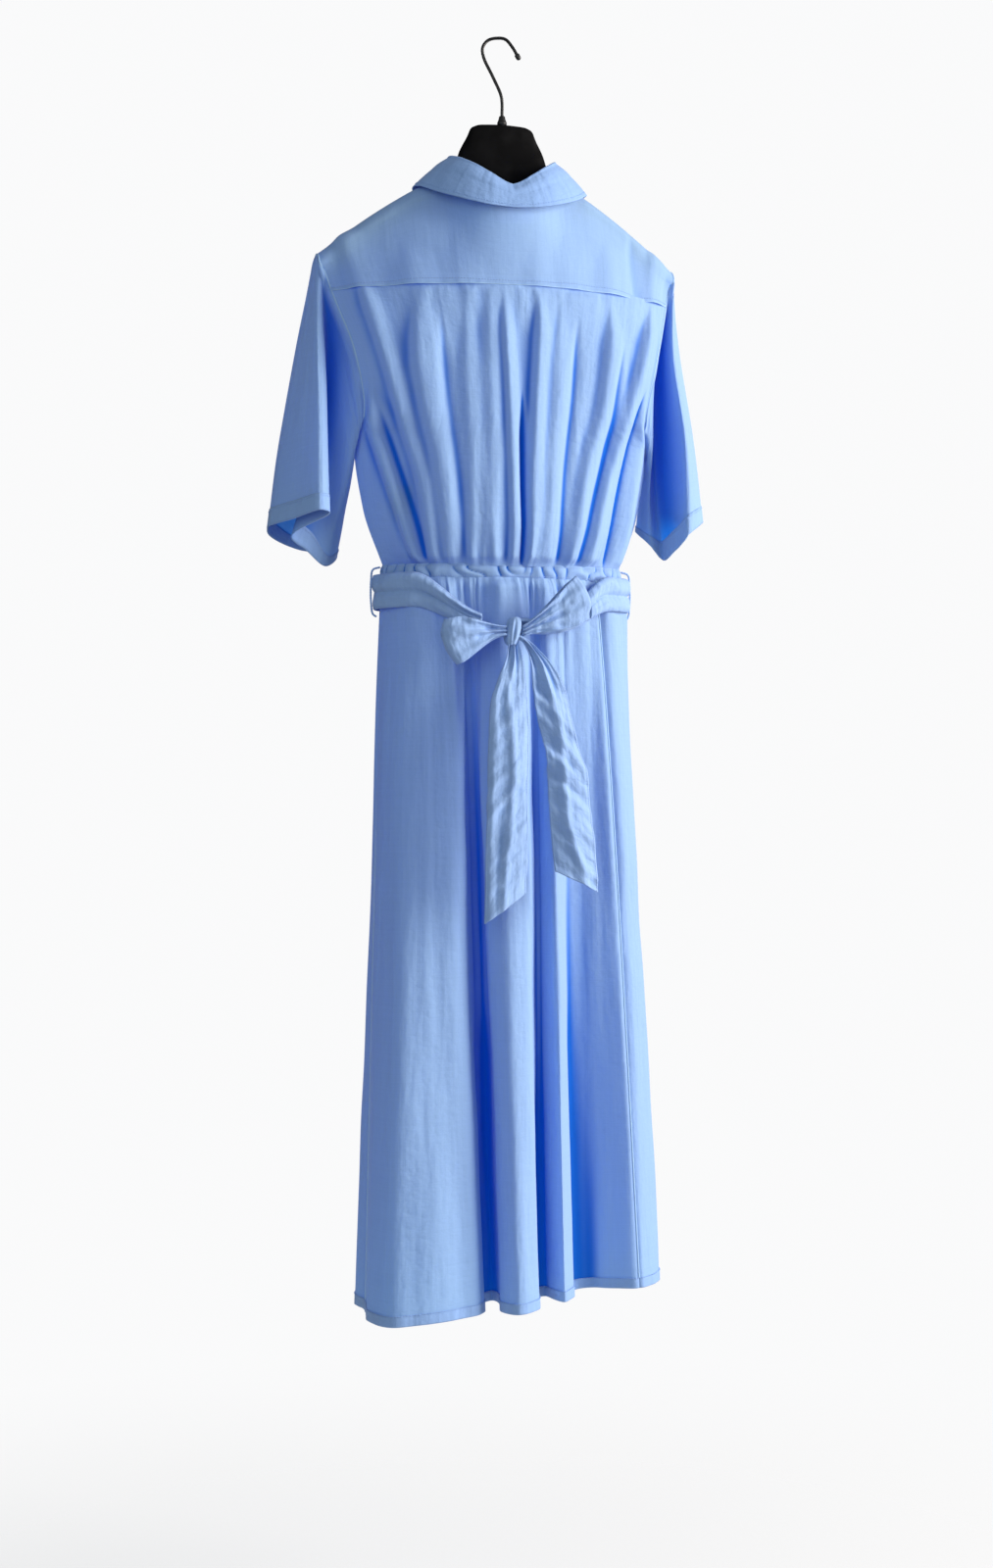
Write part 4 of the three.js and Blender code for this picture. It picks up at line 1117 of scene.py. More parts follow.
@dataclass
class Bodice:
    """The gown above the waist: back yoke, back, two fronts and the bands that button.

    Attributes:
        yoke_rise: How far the yoke's edge stands over the back.
        gather_hold: Length over which the waist seam presses folds flat.
        pressed: Share of a fold that is left at the waist seam.
        settle: Columns over which the yoke's cloth evens out beside the neck.
        yoke_grid: Rows and columns of the yoke's cloth.
        back_grid: The same of the back.
        front_grid: The same of a front.
        seam_dip: How much lower the yoke's seam is at the armholes than in the middle.
        front_start: Where a front's cloth starts, under its band.
        band_top_z: Height of the bands' upper end.
    """

    finishes: Wardrobe
    yoke_rise: float = 0.9
    gather_hold: float = 13.0
    pressed: float = 0.3
    settle: int = 17
    yoke_grid: tuple[int, int] = (74, 221)
    back_grid: tuple[int, int] = (132, 261)
    front_grid: tuple[int, int] = (168, 128)
    seam_dip: float = 5.0
    front_start: float = PLACKET_HALF - 3
    band_top_z: float = -212.0

    def held_edges(self, across: Array) -> Array:
        """1 in the open cloth and 0 at the armhole and side seams."""
        return smooth((1 - np.abs(across)) / 0.055)[None, :]

    def waist_hold(self, above: Array) -> Array:
        """How much of a fold is left at heights above the waist seam."""
        return self.pressed + (1 - self.pressed) * smooth(above / self.gather_hold)

    def yoke(self) -> Sheet:
        """The back yoke's cloth, from the seam in front of the shoulder to its lower edge."""
        rows, columns = self.yoke_grid
        across = np.linspace(-1, 1, columns)
        fall = np.linspace(0, 1, rows)
        grid = panel(Face.BACK, across, fall, YOKE_SEAM_Z - self.seam_dip * across**2, FORWARD_SEAM)
        fall = fall[:, None]
        settled = smooth(np.linspace(0, 6, rows))[:, None] * self.held_edges(across)
        grid = mix(grid, blurred(grid, self.settle, False), settled[..., None])
        base = Sheet(grid, outward=outward_y(1))
        x, z = base.points[..., 0], base.points[..., 2]
        rise = sum(fold.at(x, z) for fold in YOKE_FOLDS)
        rise = rise + Ripple(11, 70, 60).at(x, z) * 0.7 + Ripple(12, 24, 34).at(x, z) * 0.12
        rise = rise * self.held_edges(across) * smooth(fall * 3)
        rise = rise + self.yoke_rise * smooth((fall - 0.9) * 10)
        pucker = np.sin(x / 2.3 + Ripple(13, 20, 9999).at(x, x * 0) * 3) * 0.1
        return base.lifted(rise + pucker * smooth((fall - 0.93) * 14))

    def back(self) -> Sheet:
        """The back's cloth, gathered into the waist."""
        rows, columns = self.back_grid
        across = np.linspace(-1, 1, columns)
        under_yoke = YOKE_SEAM_Z + 3 - self.seam_dip * across**2
        base = Sheet(panel(Face.BACK, across, np.linspace(0, 1, rows), WAIST_TOP_Z, 0.0, under_yoke),
                     outward=outward_y(1))
        x, z = base.points[..., 0], base.points[..., 2]
        rise = sum(fold.at(x, z) for fold in BACK_FOLDS_OF_BODICE)
        above, below = z - WAIST_TOP_Z, YOKE_SEAM_Z - z
        spread = across[None, :] * WAIST_HALF + 0 * z
        rise = rise + Gathers(21, 9, 2.4, 70).at(spread, above, -118, 118)
        rise = rise + Gathers(22, 17, 2.6, 150).at(spread, above, -112, 116)
        rise = rise + Gathers(23, 13, 1.5, 46).at(x, np.maximum(below, 0), -112, 112) * smooth(below / 8)
        rise = rise + Gathers(24, 34, 1.8, 120).at(x, np.maximum(below, 0), -112, 112) * smooth(below / 12)
        rise = rise + Ripple(25, 26, 90).at(x, z) * 1.0 + Ripple(26, 11, 40).at(x, z) * 0.35
        held = self.held_edges(across) * self.waist_hold(above)
        return base.lifted(rise * held * smooth(below / 14 + 0.35))

    def front(self, hand: Hand) -> Sheet:
        """A front's cloth, from its band to the armhole."""
        rows, columns = self.front_grid
        reach = np.linspace(self.front_start, SHOULDER_HALF, columns)
        falls = np.linspace(0, 1, rows)
        grid = panel(Face.FRONT, reach / SHOULDER_HALF, falls, WAIST_TOP_Z, -FORWARD_SEAM)
        share = np.linspace(0, 1, columns)[None, :]
        below = grid[..., 2] <= SHOULDER_Z
        edge = half_width(Face.FRONT, grid[..., 2])
        x = mix(self.front_start, edge, share)
        settle = smooth((SHOULDER_Z + 26 - grid[..., 2]) / 26)
        x = mix(grid[..., 0], x, settle)
        y = np.where(below | (settle > 0), panel_y(Face.FRONT, x, np.minimum(grid[..., 2], -180)),
                     grid[..., 1])
        grid = np.stack([x, mix(grid[..., 1], y, settle), grid[..., 2]], axis=2)
        base = Sheet(grid, outward=outward_y(-1))
        x, z = grid[..., 0], grid[..., 2]
        rise = sum(fold.at(x, z) for fold in FRONT_FOLDS_OF_BODICE)
        above = z - WAIST_TOP_Z
        spread = share * WAIST_HALF + 0 * z
        seed = 31 if hand is Hand.LEFT else 41
        rise = rise + Gathers(seed, 9, 2.2, 70).at(spread, above, 20, 122)
        rise = rise + Gathers(seed + 1, 21, 2.8, 160).at(spread, above, 24, 118)
        rise = rise + Ripple(seed + 2, 30, 90).at(x, z) * 1.1 + Ripple(seed + 3, 60, 60).at(x, z)
        edges = smooth((1 - share) / 0.05) * smooth(share / 0.09)
        placed = base.lifted(rise * edges * self.waist_hold(above) * smooth(falls[:, None] * 8))
        return Sheet(mirrored(placed.points, hand), outward=outward_y(-1))

    def band(self, top_z: float, low_z: float, lift: float, y_at: Callable[[Array], Array],
             rows: int) -> Sheet:
        """A front band: a straight strip that lies over the fronts' edges."""
        x = np.linspace(-PLACKET_HALF, PLACKET_HALF, 17)[None, :]
        z = np.linspace(top_z, low_z, rows)[:, None]
        wave = Ripple(51, 14, 46).at(x + 0 * z, z + 0 * x) * 0.5
        edge = 0.35 * smooth((np.abs(x) - 11) / 4)
        y = y_at(z) + x**2 / 260 - lift + wave - edge
        return Sheet(np.stack([x + 0 * z, y, z + 0 * x], axis=2), outward=outward_y(-1))

    def build(self) -> None:
        """Builds and dresses every piece of the bodice."""
        wear = self.finishes
        yoke = self.yoke()
        piece = yoke.build("yoke", 0)
        line = yoke.points[-4], yoke.normals[-4]
        stitch = wear.sewn("yoke_stitching", *line)
        edge = tube("yoke_edge", yoke.points[-1] - yoke.normals[-1] * 0.3, 0.45, 8)
        dress(edge, wear.cotton_plain, "cotton", "gown")
        dress(piece, wear.smooth, "cotton", "gown", "back_yoke")
        declare(yoke, [stitch, edge])
        back = self.back()
        piece = dress(back.build("back_panel", 0), wear.cotton, "cotton", "gown", "back_bodice")
        declare(back)
        for hand in Hand:
            front = self.front(hand)
            name = f"front_{hand.word}"
            piece = dress(front.build(name, 0), wear.cotton, "cotton", "gown", f"front_bodice_{hand.word}")
            shoulder = wear.sewn(f"{name}_shoulder_stitching", front.points[3, 30:-2],
                                 front.normals[3, 30:-2])
            declare(front, [shoulder])
        bands = (("band_over", "buttonhole_band", 2.0), ("band_under", "button_band", -0.6))
        for name, node, lift in bands:
            strip = self.band(self.band_top_z, WAIST_TOP_Z, lift,
                              lambda z: panel_y(Face.FRONT, 0 * z, z), 150)
            piece = dress(strip.build(name, 1.0), wear.hem, "cotton", "gown", node)
            seams = wear.sewn_edges(name, strip) if name == "band_over" else []
            declare(strip, seams)


# ---------------------------------------------------------------- collar


@dataclass
class Collar:
    """The shirt collar: a stand round the neck, and a leaf that folds over it.

    Attributes:
        open_turn: Angle at the front where the collar ends.
        roll: Radius of its fold.
        stitch_in: From the leaf's edge in to its stitching, as a share of its depth.
        fold_line: Height of the fold against the angle from the middle of the back.
        edge: The leaf's free edge on the wearer's left, from the middle of the back to its point.
    """

    finishes: Wardrobe
    open_turn: float = math.pi - math.radians(9)
    roll: float = 2.0
    stitch_in: float = 0.9
    fold_line: Profile = Profile(((0, -170.5), (0.12, -168), (0.4, -158), (0.8, -145), (1.2, -136.5),
                                  (1.5, -133.5), (1.9, -139), (2.5, -163), (2.98, -183)))
    edge: tuple[Point, ...] = ((0, 56, -196), (30, 54.5, -193.5), (56, 46, -187), (80, 29, -177.5),
                               (96, 6, -167), (98, -14, -166), (87, -36, -178), (66, -62, -216),
                               (45, -73, -252))

    def base(self, angle: Array) -> Array:
        """The stand's lower edge, on the neckline."""
        x = NECK_HALF * np.sin(angle)
        back, front = neckline(Face.BACK, x), neckline(Face.FRONT, x)
        behind = np.cos(angle) > 0
        return np.stack([x, np.where(behind, back[0], front[0]), np.where(behind, back[1], front[1]) + 1.5],
                        axis=-1)

    def fold(self, angle: Array) -> Array:
        """The line that the collar folds on."""
        place = self.base(angle) * np.array([0.93, 0.9, 1.0])
        place[..., 2] = self.fold_line.at(np.abs(angle))
        return place

    def stand(self) -> Sheet:
        """The stand's cloth."""
        angle = np.linspace(-self.open_turn, self.open_turn, 181)
        rise = np.linspace(0, 1, 12)[:, None, None]
        grid = mix(self.base(angle)[None], self.fold(angle)[None], rise)
        bow = np.sin(np.pi * rise[..., 0]) * 0.8
        return Sheet(grid, outward=from_axis).lifted(bow + 0 * angle[None, :])

    def leaf(self) -> Sheet:
        """The leaf's cloth: up over the fold, and down to its free edge."""
        angle = np.linspace(-self.open_turn, self.open_turn, 261)
        outward = np.stack([np.sin(angle), np.cos(angle), 0 * angle], axis=-1)
        fold = self.fold(angle)
        half = open_trip(self.edge, 400)
        share = np.abs(angle) / self.open_turn * (len(half) - 1)
        free = np.stack([np.interp(share, np.arange(len(half)), half[:, k]) for k in range(3)], axis=-1)
        free[:, 0] *= np.sign(angle)
        turn = np.linspace(0, math.pi, 9)[:, None, None]
        over = fold + outward * self.roll * (1 - np.cos(turn)) + np.array([0, 0, self.roll]) * np.sin(turn)
        start = over[-1]
        fall = np.linspace(0, 1, 30)[1:, None, None]
        bow = np.sin(np.pi * fall) * 2.4 + np.sin(np.pi * np.minimum(fall * 2.4, 1)) * 1.2
        down = mix(start[None], free[None], fall) + outward[None] * bow
        ripple = Ripple(61, 26, 12).at(angle[None, :] * 62 + 0 * fall[..., 0],
                                       fall[..., 0] * 30 + 0 * angle)
        down = down + outward[None] * (ripple * 0.7 * fall[..., 0])[..., None]
        return Sheet(np.concatenate([over, down]), outward=from_axis, reach=9)

    def build(self) -> None:
        """Builds and dresses the collar."""
        wear = self.finishes
        stand = self.stand()
        piece = dress(stand.build("collar_stand_cloth", 1.2), wear.hem, "cotton", "gown", "collar_stand")
        run = wear.sewn("collar_stand_stitching", stand.points[2], stand.normals[2])
        declare(stand, [run])
        leaf = self.leaf()
        piece = dress(leaf.build("collar_leaf_cloth", 1.3), wear.hem, "cotton", "gown", "collar_leaf")
        row = 8 + int(29 * self.stitch_in)
        lines = [leaf.points[row, 3:-3], leaf.points[9:row, 4], leaf.points[9:row, -5]]
        facing = [leaf.normals[row, 3:-3], leaf.normals[9:row, 4], leaf.normals[9:row, -5]]
        runs = [
            wear.sewn(f"collar_leaf_stitching_{k}", line, up)
            for k, (line, up) in enumerate(zip(lines, facing))
        ]
        declare(leaf, runs)


# ---------------------------------------------------------------- sleeves


@dataclass(frozen=True)
class SleeveLine:
    """A line down a sleeve.

    Attributes:
        turn: Where it leaves the armhole: 0 at the shoulder, a quarter at the back, a half below.
        upper: Its place at a third of the way down.
        lower: Its place at two thirds.
        hem: Its place at the hem.
    """

    turn: float
    upper: Point
    lower: Point
    hem: Point


LEFT_LINES = (
    SleeveLine(0.0, (225, -20, -345), (242, -15, -447), (255, -10, -540)),
    SleeveLine(0.012, (218, 0, -344), (229, 13, -443), (235, 20, -535)),
    SleeveLine(0.025, (209, 14, -343), (211, 35, -441), (213, 46, -528)),
    SleeveLine(0.045, (200, 6, -344), (200, 24, -441), (200, 36, -530)),
    SleeveLine(0.09, (194, -12, -352), (206, -2, -452), (236, 0, -553)),
    SleeveLine(0.22, (181, 4, -385), (190, -4, -478), (216, -12, -567)),
    SleeveLine(0.38, (169, 6, -470), (181, -10, -528), (194, -25, -582)),
    SleeveLine(0.5, (168, -18, -490), (172, -36, -530), (176, -52, -568)),
    SleeveLine(0.66, (178, -60, -455), (197, -74, -510), (212, -80, -560)),
    SleeveLine(0.84, (212, -52, -380), (234, -56, -470), (248, -53, -549)),
    SleeveLine(0.95, (224, -36, -350), (243, -34, -450), (256, -30, -542)),
)
RIGHT_LINES = (
    SleeveLine(0.0, (213, -15, -341), (226, -6, -440), (234, 0, -525)),
    SleeveLine(0.02, (202, 6, -341), (214, 18, -440), (218, 26, -534)),
    SleeveLine(0.05, (194, 14, -342), (203, 29, -440), (204, 34, -545)),
    SleeveLine(0.12, (188, 0, -350), (193, 3, -452), (200, 2, -559)),
    SleeveLine(0.2, (182, -12, -362), (184, -22, -468), (196, -26, -567)),
    SleeveLine(0.36, (171, 8, -450), (173, -8, -500), (178, -24, -549)),
    SleeveLine(0.5, (168, -20, -478), (170, -38, -505), (172, -53, -532)),
    SleeveLine(0.66, (176, -58, -445), (190, -70, -490), (201, -74, -535)),
    SleeveLine(0.84, (203, -48, -375), (218, -54, -455), (227, -52, -530)),
    SleeveLine(0.95, (213, -32, -350), (227, -30, -445), (236, -26, -526)),
)


def armhole(turn: Array) -> Array:
    """Points of the wearer's left armhole seam at turns from the shoulder point."""
    z = mix(SHOULDER_Z, UNDERARM_Z, (1 - np.cos(TAU * turn)) / 2)
    drop = SHOULDER_Z - z
    rolled = np.sqrt(1 - (1 - np.minimum(drop / SHOULDER_ROLL, 1)) ** 2) * SHOULDER_ROLL
    sides = {}
    for face in Face:
        wide = mix(SHOULDER_HALF, half_width(face, z), smooth(drop / SHOULDER_ROLL - 0.5))
        below = panel_y(face, half_width(face, z), z)
        over = RIDGE_Y.at(SHOULDER_HALF) + face.value * rolled
        sides[face] = np.stack([wide, np.where(drop < SHOULDER_ROLL, over, below), z], axis=-1)
    behind = (turn % 1.0 < 0.5)[..., None]
    return np.where(behind, sides[Face.BACK], sides[Face.FRONT])


@dataclass
class Sleeve:
    """A short sleeve: its tube of cloth, the seam it hangs from, and its turned hem.

    Attributes:
        hand: The wearer's left or right.
        lines: The lines down the sleeve, in order round it from the shoulder over the back.
        columns: Points between two lines.
        rows: Points down the sleeve.
        hem_depth: Depth of the turned hem.
        cap_rise: How far the cloth rolls out at the armhole seam.
        girth: Length round the sleeve that its creases are spaced by.
        length: Length down it that they are spaced by.
        bend_from: How far from the middle the span between the gown and the sleeve starts.
        bend_way: The direction, on the wearer's left, in which the span runs.
        bend_lead: How far along it the span starts.
        bend_run: The span's length.
        inner_wall: The line, counted round the sleeve, down the middle of its wall next to the body, where
            shade is painted into the cloth's colour.
    """

    finishes: Wardrobe
    hand: Hand
    lines: tuple[SleeveLine, ...]
    columns: int = 18
    rows: int = 110
    hem_depth: float = 21.0
    cap_rise: float = 1.8
    girth: float = 420.0
    length: float = 300.0
    bend_from: float = 166.0
    bend_way: Point = (0.98, 0.0, -0.19)
    bend_lead: float = 2.0
    bend_run: float = 62.0
    inner_wall: float = 4.3

    def tube(self) -> Array:
        """The whole sleeve's points: rows down it, columns round it."""
        count = len(self.lines)
        place = np.arange(count * self.columns) / self.columns
        stations = np.array([0.0, 0.36, 0.7, 1.0])
        share = np.linspace(0, 1, self.rows)
        turns = np.array([line.turn for line in self.lines] + [1.0])
        turn_at = Profile(tuple(zip(np.arange(count + 1.0), turns))).at(place)
        start = armhole(turn_at)
        marks = np.array([[line.upper, line.lower, line.hem] for line in self.lines], float)
        below = round_trip(marks, place).transpose(1, 0, 2)
        held = np.concatenate([start[None], below])
        slope = np.gradient(held, stations, axis=0)
        k = np.clip(np.searchsorted(stations, share, side="right") - 1, 0, 2)
        run = (stations[k + 1] - stations[k])[:, None, None]
        t = ((share - stations[k]) / run[:, 0, 0])[:, None, None]
        near = (1 + 2 * t) * (1 - t) ** 2 * held[k] + t * t * (3 - 2 * t) * held[k + 1]
        return near + run * (t * (1 - t) ** 2 * slope[k] - t * t * (1 - t) * slope[k + 1])

    def cloth(self) -> Sheet:
        """The sleeve's cloth, with its small creases."""
        grid = self.tube()
        around = np.linspace(0, self.girth, grid.shape[1], endpoint=False)[None, :]
        down = np.linspace(0, self.length, self.rows)[:, None]
        seed = 71 if self.hand is Hand.LEFT else 81
        x, z = around + 0 * down, down + 0 * around
        base = Sheet(grid, True, self.from_middle)
        rise = Ripple(seed, 60, 110).at(x, z) * 1.0 + Ripple(seed + 1, 22, 70).at(x, z) * 0.35
        count = len(self.lines)
        place = np.arange(grid.shape[1])[None, :] / self.columns
        under = np.exp(-(((place - count * 0.62) / 1.5) ** 2)) * np.exp(-((down / 70) ** 2))
        crumple = Ripple(seed + 2, 13, 16).at(x, z) * 3.2 + Ripple(seed + 3, 30, 22).at(x, z) * 3
        rise = rise + under * crumple
        cap = self.cap_rise * (1 - np.exp(-down / 2.5)) * np.exp(-down / 26)
        seam = smooth(down / 8)
        placed = base.lifted(rise * seam + cap)
        # Painted shade down the deep wall next to the body, fading out near the armhole seam.
        behind = 0.92 * np.exp(-(((place - self.inner_wall) / 1.05) ** 2)) * smooth(down / 45)
        return Sheet(mirrored(placed.points, self.hand), True, self.from_middle, shade=behind)

    def from_middle(self, points: Array) -> Array:
        """A direction for normals: away from each ring's own middle."""
        return points - points.mean(axis=1, keepdims=True)

    def span(self) -> tuple[Point, Point]:
        """Two points on the way from the gown to the sleeve; the cloth is not bent between them."""
        way = mirrored(np.array(self.bend_way), self.hand)
        first = mirrored(np.array([self.bend_from, 0.0, UNDERARM_Z]), self.hand) + way * self.bend_lead
        return tuple(first), tuple(first + way * self.bend_run)

    def build(self) -> None:
        """Builds and dresses the sleeve."""
        wear, word = self.finishes, self.hand.word
        bodies = ("gown", f"sleeve_{word}")
        start, end = self.span()
        whole = self.cloth()
        hem_rows = max(3, round(self.rows * self.hem_depth / self.length))
        tube_part = Sheet(whole.points[:-2], True, self.from_middle, shade=whole.shade[:-2])
        piece = tube_part.build(f"sleeve_{word}_cloth", 0)
        dress_across(piece, wear.cotton, "cotton", bodies, start, end, f"sleeve_{word}")
        around = np.linspace(0, self.girth, whole.points.shape[1], endpoint=False)[None, :]
        level = np.zeros((hem_rows, 1))
        wave = Ripple(91, 7, 60).at(around + level, level + 0 * around)
        strip = Sheet(whole.points[-hem_rows:], True, self.from_middle).lifted(0.7 + wave * 0.3)
        hem = strip.build(f"sleeve_{word}_hem_cloth", 1.3)
        dress_across(hem, wear.hem, "cotton", bodies, start, end, f"sleeve_hem_{word}")
        run = Stitching().sew(f"sleeve_{word}_hem_stitching", closed_up(strip.points[1]),
                              closed_up(strip.normals[1]))
        dress_across(run, wear.thread, "cotton", bodies, start, end)
        ridge = tube(f"armhole_{word}_seam", closed_up(whole.points[0]), 0.8, 8)
        dress(ridge, wear.cotton_plain, "cotton", "gown")
        declare(tube_part, [hem, run, ridge])


# ---------------------------------------------------------------- waist and skirt

BACK_FOLDS = (
    (150, -22, 134), (157, 34, 128), (142, 82, 112), (103, 85, 95), (49, 74, 80), (34, 56, 72),
    (30, 22, 62), (14, 8, 54), (10, 36, 46), (18, 70, 40), (7, 95, 22), (-17, 84, 2), (-27, 60, -6),
    (-34, 22, -14), (-44, 20, -22), (-54, 62, -34), (-69, 42, -41), (-80, 8, -51), (-98, 6, -60),
    (-120, 22, -78), (-147, 38, -95), (-172, 22, -118), (-182, -12, -133),
)
FRONT_FOLDS = (
    (-166, -62, -122), (-132, -104, -100), (-104, -100, -84), (-86, -66, -70), (-70, -66, -58),
    (-56, -106, -46), (-30, -112, -30), (0, -108, 0), (30, -112, 30), (56, -106, 46), (70, -66, 58),
    (86, -66, 70), (104, -100, 84), (130, -102, 100), (152, -66, 122),
)
SKIRT_TOP_Z = WAIST_LOW_Z - 1
HEM_Z = -1386.0
HEM_TILT = 0.07
RIGHT_SEAM = 20
FRONT_MIDDLE = len(BACK_FOLDS) + 7
FOLD_COUNT = len(BACK_FOLDS) + len(FRONT_FOLDS)


def skirt_lines() -> tuple[Array, Array]:
    """The skirt's fold points at the waist and at the hem, in order round it."""
    folds = [(fold, 1) for fold in BACK_FOLDS] + [(fold, -1) for fold in FRONT_FOLDS]
    hem = np.array([(x, y, HEM_Z) for (x, y, _), _ in folds], float)
    share = np.clip(np.array([waist for (_, _, waist), _ in folds]) / WAIST_HALF, -0.9999, 0.9999)
    sign = np.array([side for _, side in folds])
    top = np.stack([WAIST_HALF * share, sign * WAIST_DEPTH * np.sqrt(1 - share**2),
                    np.full(len(folds), SKIRT_TOP_Z)], axis=1)
    return top, hem


def skirt_grid(places: Array, heights: Array) -> Array:
    """Points on the skirt's large folds.

    Args:
        places: Each column's place, in folds round the skirt.
        heights: Each row's height before the hem's tilt.

    Returns:
        Rows, columns and X, Y, Z.
    """
    top_line, hem_line = skirt_lines()
    top, hem = round_trip(top_line, places), round_trip(hem_line, places)
    fall = np.clip((SKIRT_TOP_Z - heights) / (SKIRT_TOP_Z - HEM_Z), 0, 1)[:, None]
    spread = fall**0.8
    x = mix(top[None, :, 0], hem[None, :, 0], spread)
    y = mix(top[None, :, 1], hem[None, :, 1], spread)
    return np.stack([x, y, heights[:, None] - HEM_TILT * x * fall], axis=2)


@dataclass
class Skirt:
    """The long skirt: a back, two fronts, their bands and their turned hems.

    Attributes:
        per_fold: Points across one fold.
        rows: Points from waist to hem.
        hem_depth: Depth of the turned hem.
        seam_sink: How far the cloth sinks at a side seam.
    """

    finishes: Wardrobe
    per_fold: int = 15
    rows: int = 190
    hem_depth: float = 11.0
    seam_sink: float = 1.4

    def heights(self, rows: int, low: float) -> Array:
        """Heights of rows that stand closer together near the waist."""
        share = np.linspace(0, 1, rows)
        return mix(SKIRT_TOP_Z, low, share**1.35)

    def panel(self, first: float, last: float, seed: int) -> Sheet:
        """One panel's cloth, between two places round the skirt."""
        places = np.linspace(first, last, round((last - first) * self.per_fold) + 1)
        heights = self.heights(self.rows, HEM_Z)
        base = Sheet(skirt_grid(places, heights), outward=from_axis, reach=26)
        away = (SKIRT_TOP_Z - heights)[:, None] + 0 * places[None, :]
        girth = places[None, :] * 13.0 + 0 * away
        low, high = first * 13.0 + 3, last * 13.0 - 3
        rise = Gathers(seed, 8.5, 2.6, 60).at(girth, away, low, high)
        rise = rise + Gathers(seed + 1, 16, 4.2, 190).at(girth, away, low, high)
        rise = rise + Gathers(seed + 2, 30, 5.5, 420).at(girth, away, low, high)
        arc = distances(base.points[-1])
        x = arc[None, :] + 0 * away
        fall = smooth(away / 220)
        rise = rise + fall * (Ripple(seed + 3, 34, 300).at(x, away) * 2.4
                              + Ripple(seed + 4, 15, 170).at(x, away) * 0.9
                              + Ripple(seed + 5, 60, 70).at(x, away) * 0.9)
        hold = 0.3 + 0.7 * smooth(away / 12)
        edge = smooth((places - first) / 0.3) * smooth((last - places) / 0.3)
        sink = self.seam_sink * (1 - smooth((places - first) / 0.12) * smooth((last - places) / 0.12))
        return base.lifted(rise * hold * edge[None, :] - sink[None, :] * smooth(away / 30))

    def hem(self, cloth: Sheet) -> Sheet:
        """The turned hem along a panel's lower edge."""
        falls = np.linalg.norm(np.diff(cloth.points, axis=0), axis=2).mean(axis=1)[::-1]
        rows = int(np.searchsorted(np.cumsum(falls), self.hem_depth)) + 1
        low = cloth.points[-rows - 1 :]
        fine = np.linspace(0, len(low) - 1, 9)
        k = np.minimum(fine.astype(int), len(low) - 2)
        grid = mix(low[k], low[k + 1], (fine - k)[:, None, None])
        arc = distances(grid[0])
        wave = Ripple(101, 9, 40).at(arc[None, :] + 0 * fine[:, None], fine[:, None] * 2 + 0 * arc[None, :])
        strip = Sheet(grid, outward=from_axis, reach=26)
        return strip.lifted(0.8 + wave * 0.35)

    def build(self) -> None:
        """Builds and dresses the skirt."""
        wear = self.finishes
        reach = (PLACKET_HALF - 3) / 30
        panels = (
            ("back", 0.0, float(RIGHT_SEAM), 111),
            ("front_right", float(RIGHT_SEAM), FRONT_MIDDLE - reach, 121),
            ("front_left", FRONT_MIDDLE + reach, float(FOLD_COUNT), 131),
        )
        for name, first, last, seed in panels:
            cloth = self.panel(first, last, seed)
            main = Sheet(cloth.points[:-1], outward=from_axis, reach=26)
            piece = dress(main.build(f"skirt_{name}_cloth", 0), wear.cotton, "cotton", "gown",
                          f"skirt_{name}")
            strip = self.hem(cloth)
            hem = dress(strip.build(f"skirt_{name}_hem_cloth", 1.4), wear.hem, "cotton", "gown",
                        f"skirt_hem_{name}")
            run = wear.sewn(f"skirt_{name}_hem_stitching", strip.points[0] + strip.normals[0] * 0.1,
                            strip.normals[0])
            declare(main, [hem, run])
            if name == "back":
                for side, column in (("left", 0), ("right", -1)):
                    line = main.points[:, column] + main.normals[:, column] * 0.4
                    ridge = tube(f"side_seam_{side}", line, 0.9, 8)
                    dress(ridge, wear.cotton_plain, "cotton", "gown")
        self.bands()

    def bands(self) -> None:
        """The skirt's two front bands."""
        wear = self.finishes
        heights = self.heights(200, HEM_Z)
        middle = skirt_grid(np.array([float(FRONT_MIDDLE)]), heights)[:, 0]
        for name, node, lift in (("skirt_band_over", "skirt_buttonhole_band", 4.6),
                                 ("skirt_band_under", "skirt_button_band", 2.4)):
            x = np.linspace(-PLACKET_HALF, PLACKET_HALF, 17)[None, :]
            z = heights[:, None]
            wave = Ripple(141, 14, 52).at(x + 0 * z, z + 0 * x) * 0.8
            y = middle[:, 1][:, None] - lift + wave + x**2 / 240
            strip = Sheet(np.stack([x + 0 * z, y, z + 0 * x], axis=2), outward=outward_y(-1))
            piece = dress(strip.build(name, 1.2), wear.hem, "cotton", "gown", node)
            runs = wear.sewn_edges(name, strip) if name == "skirt_band_over" else []
            declare(strip, runs)


BELT_Z = -611.0


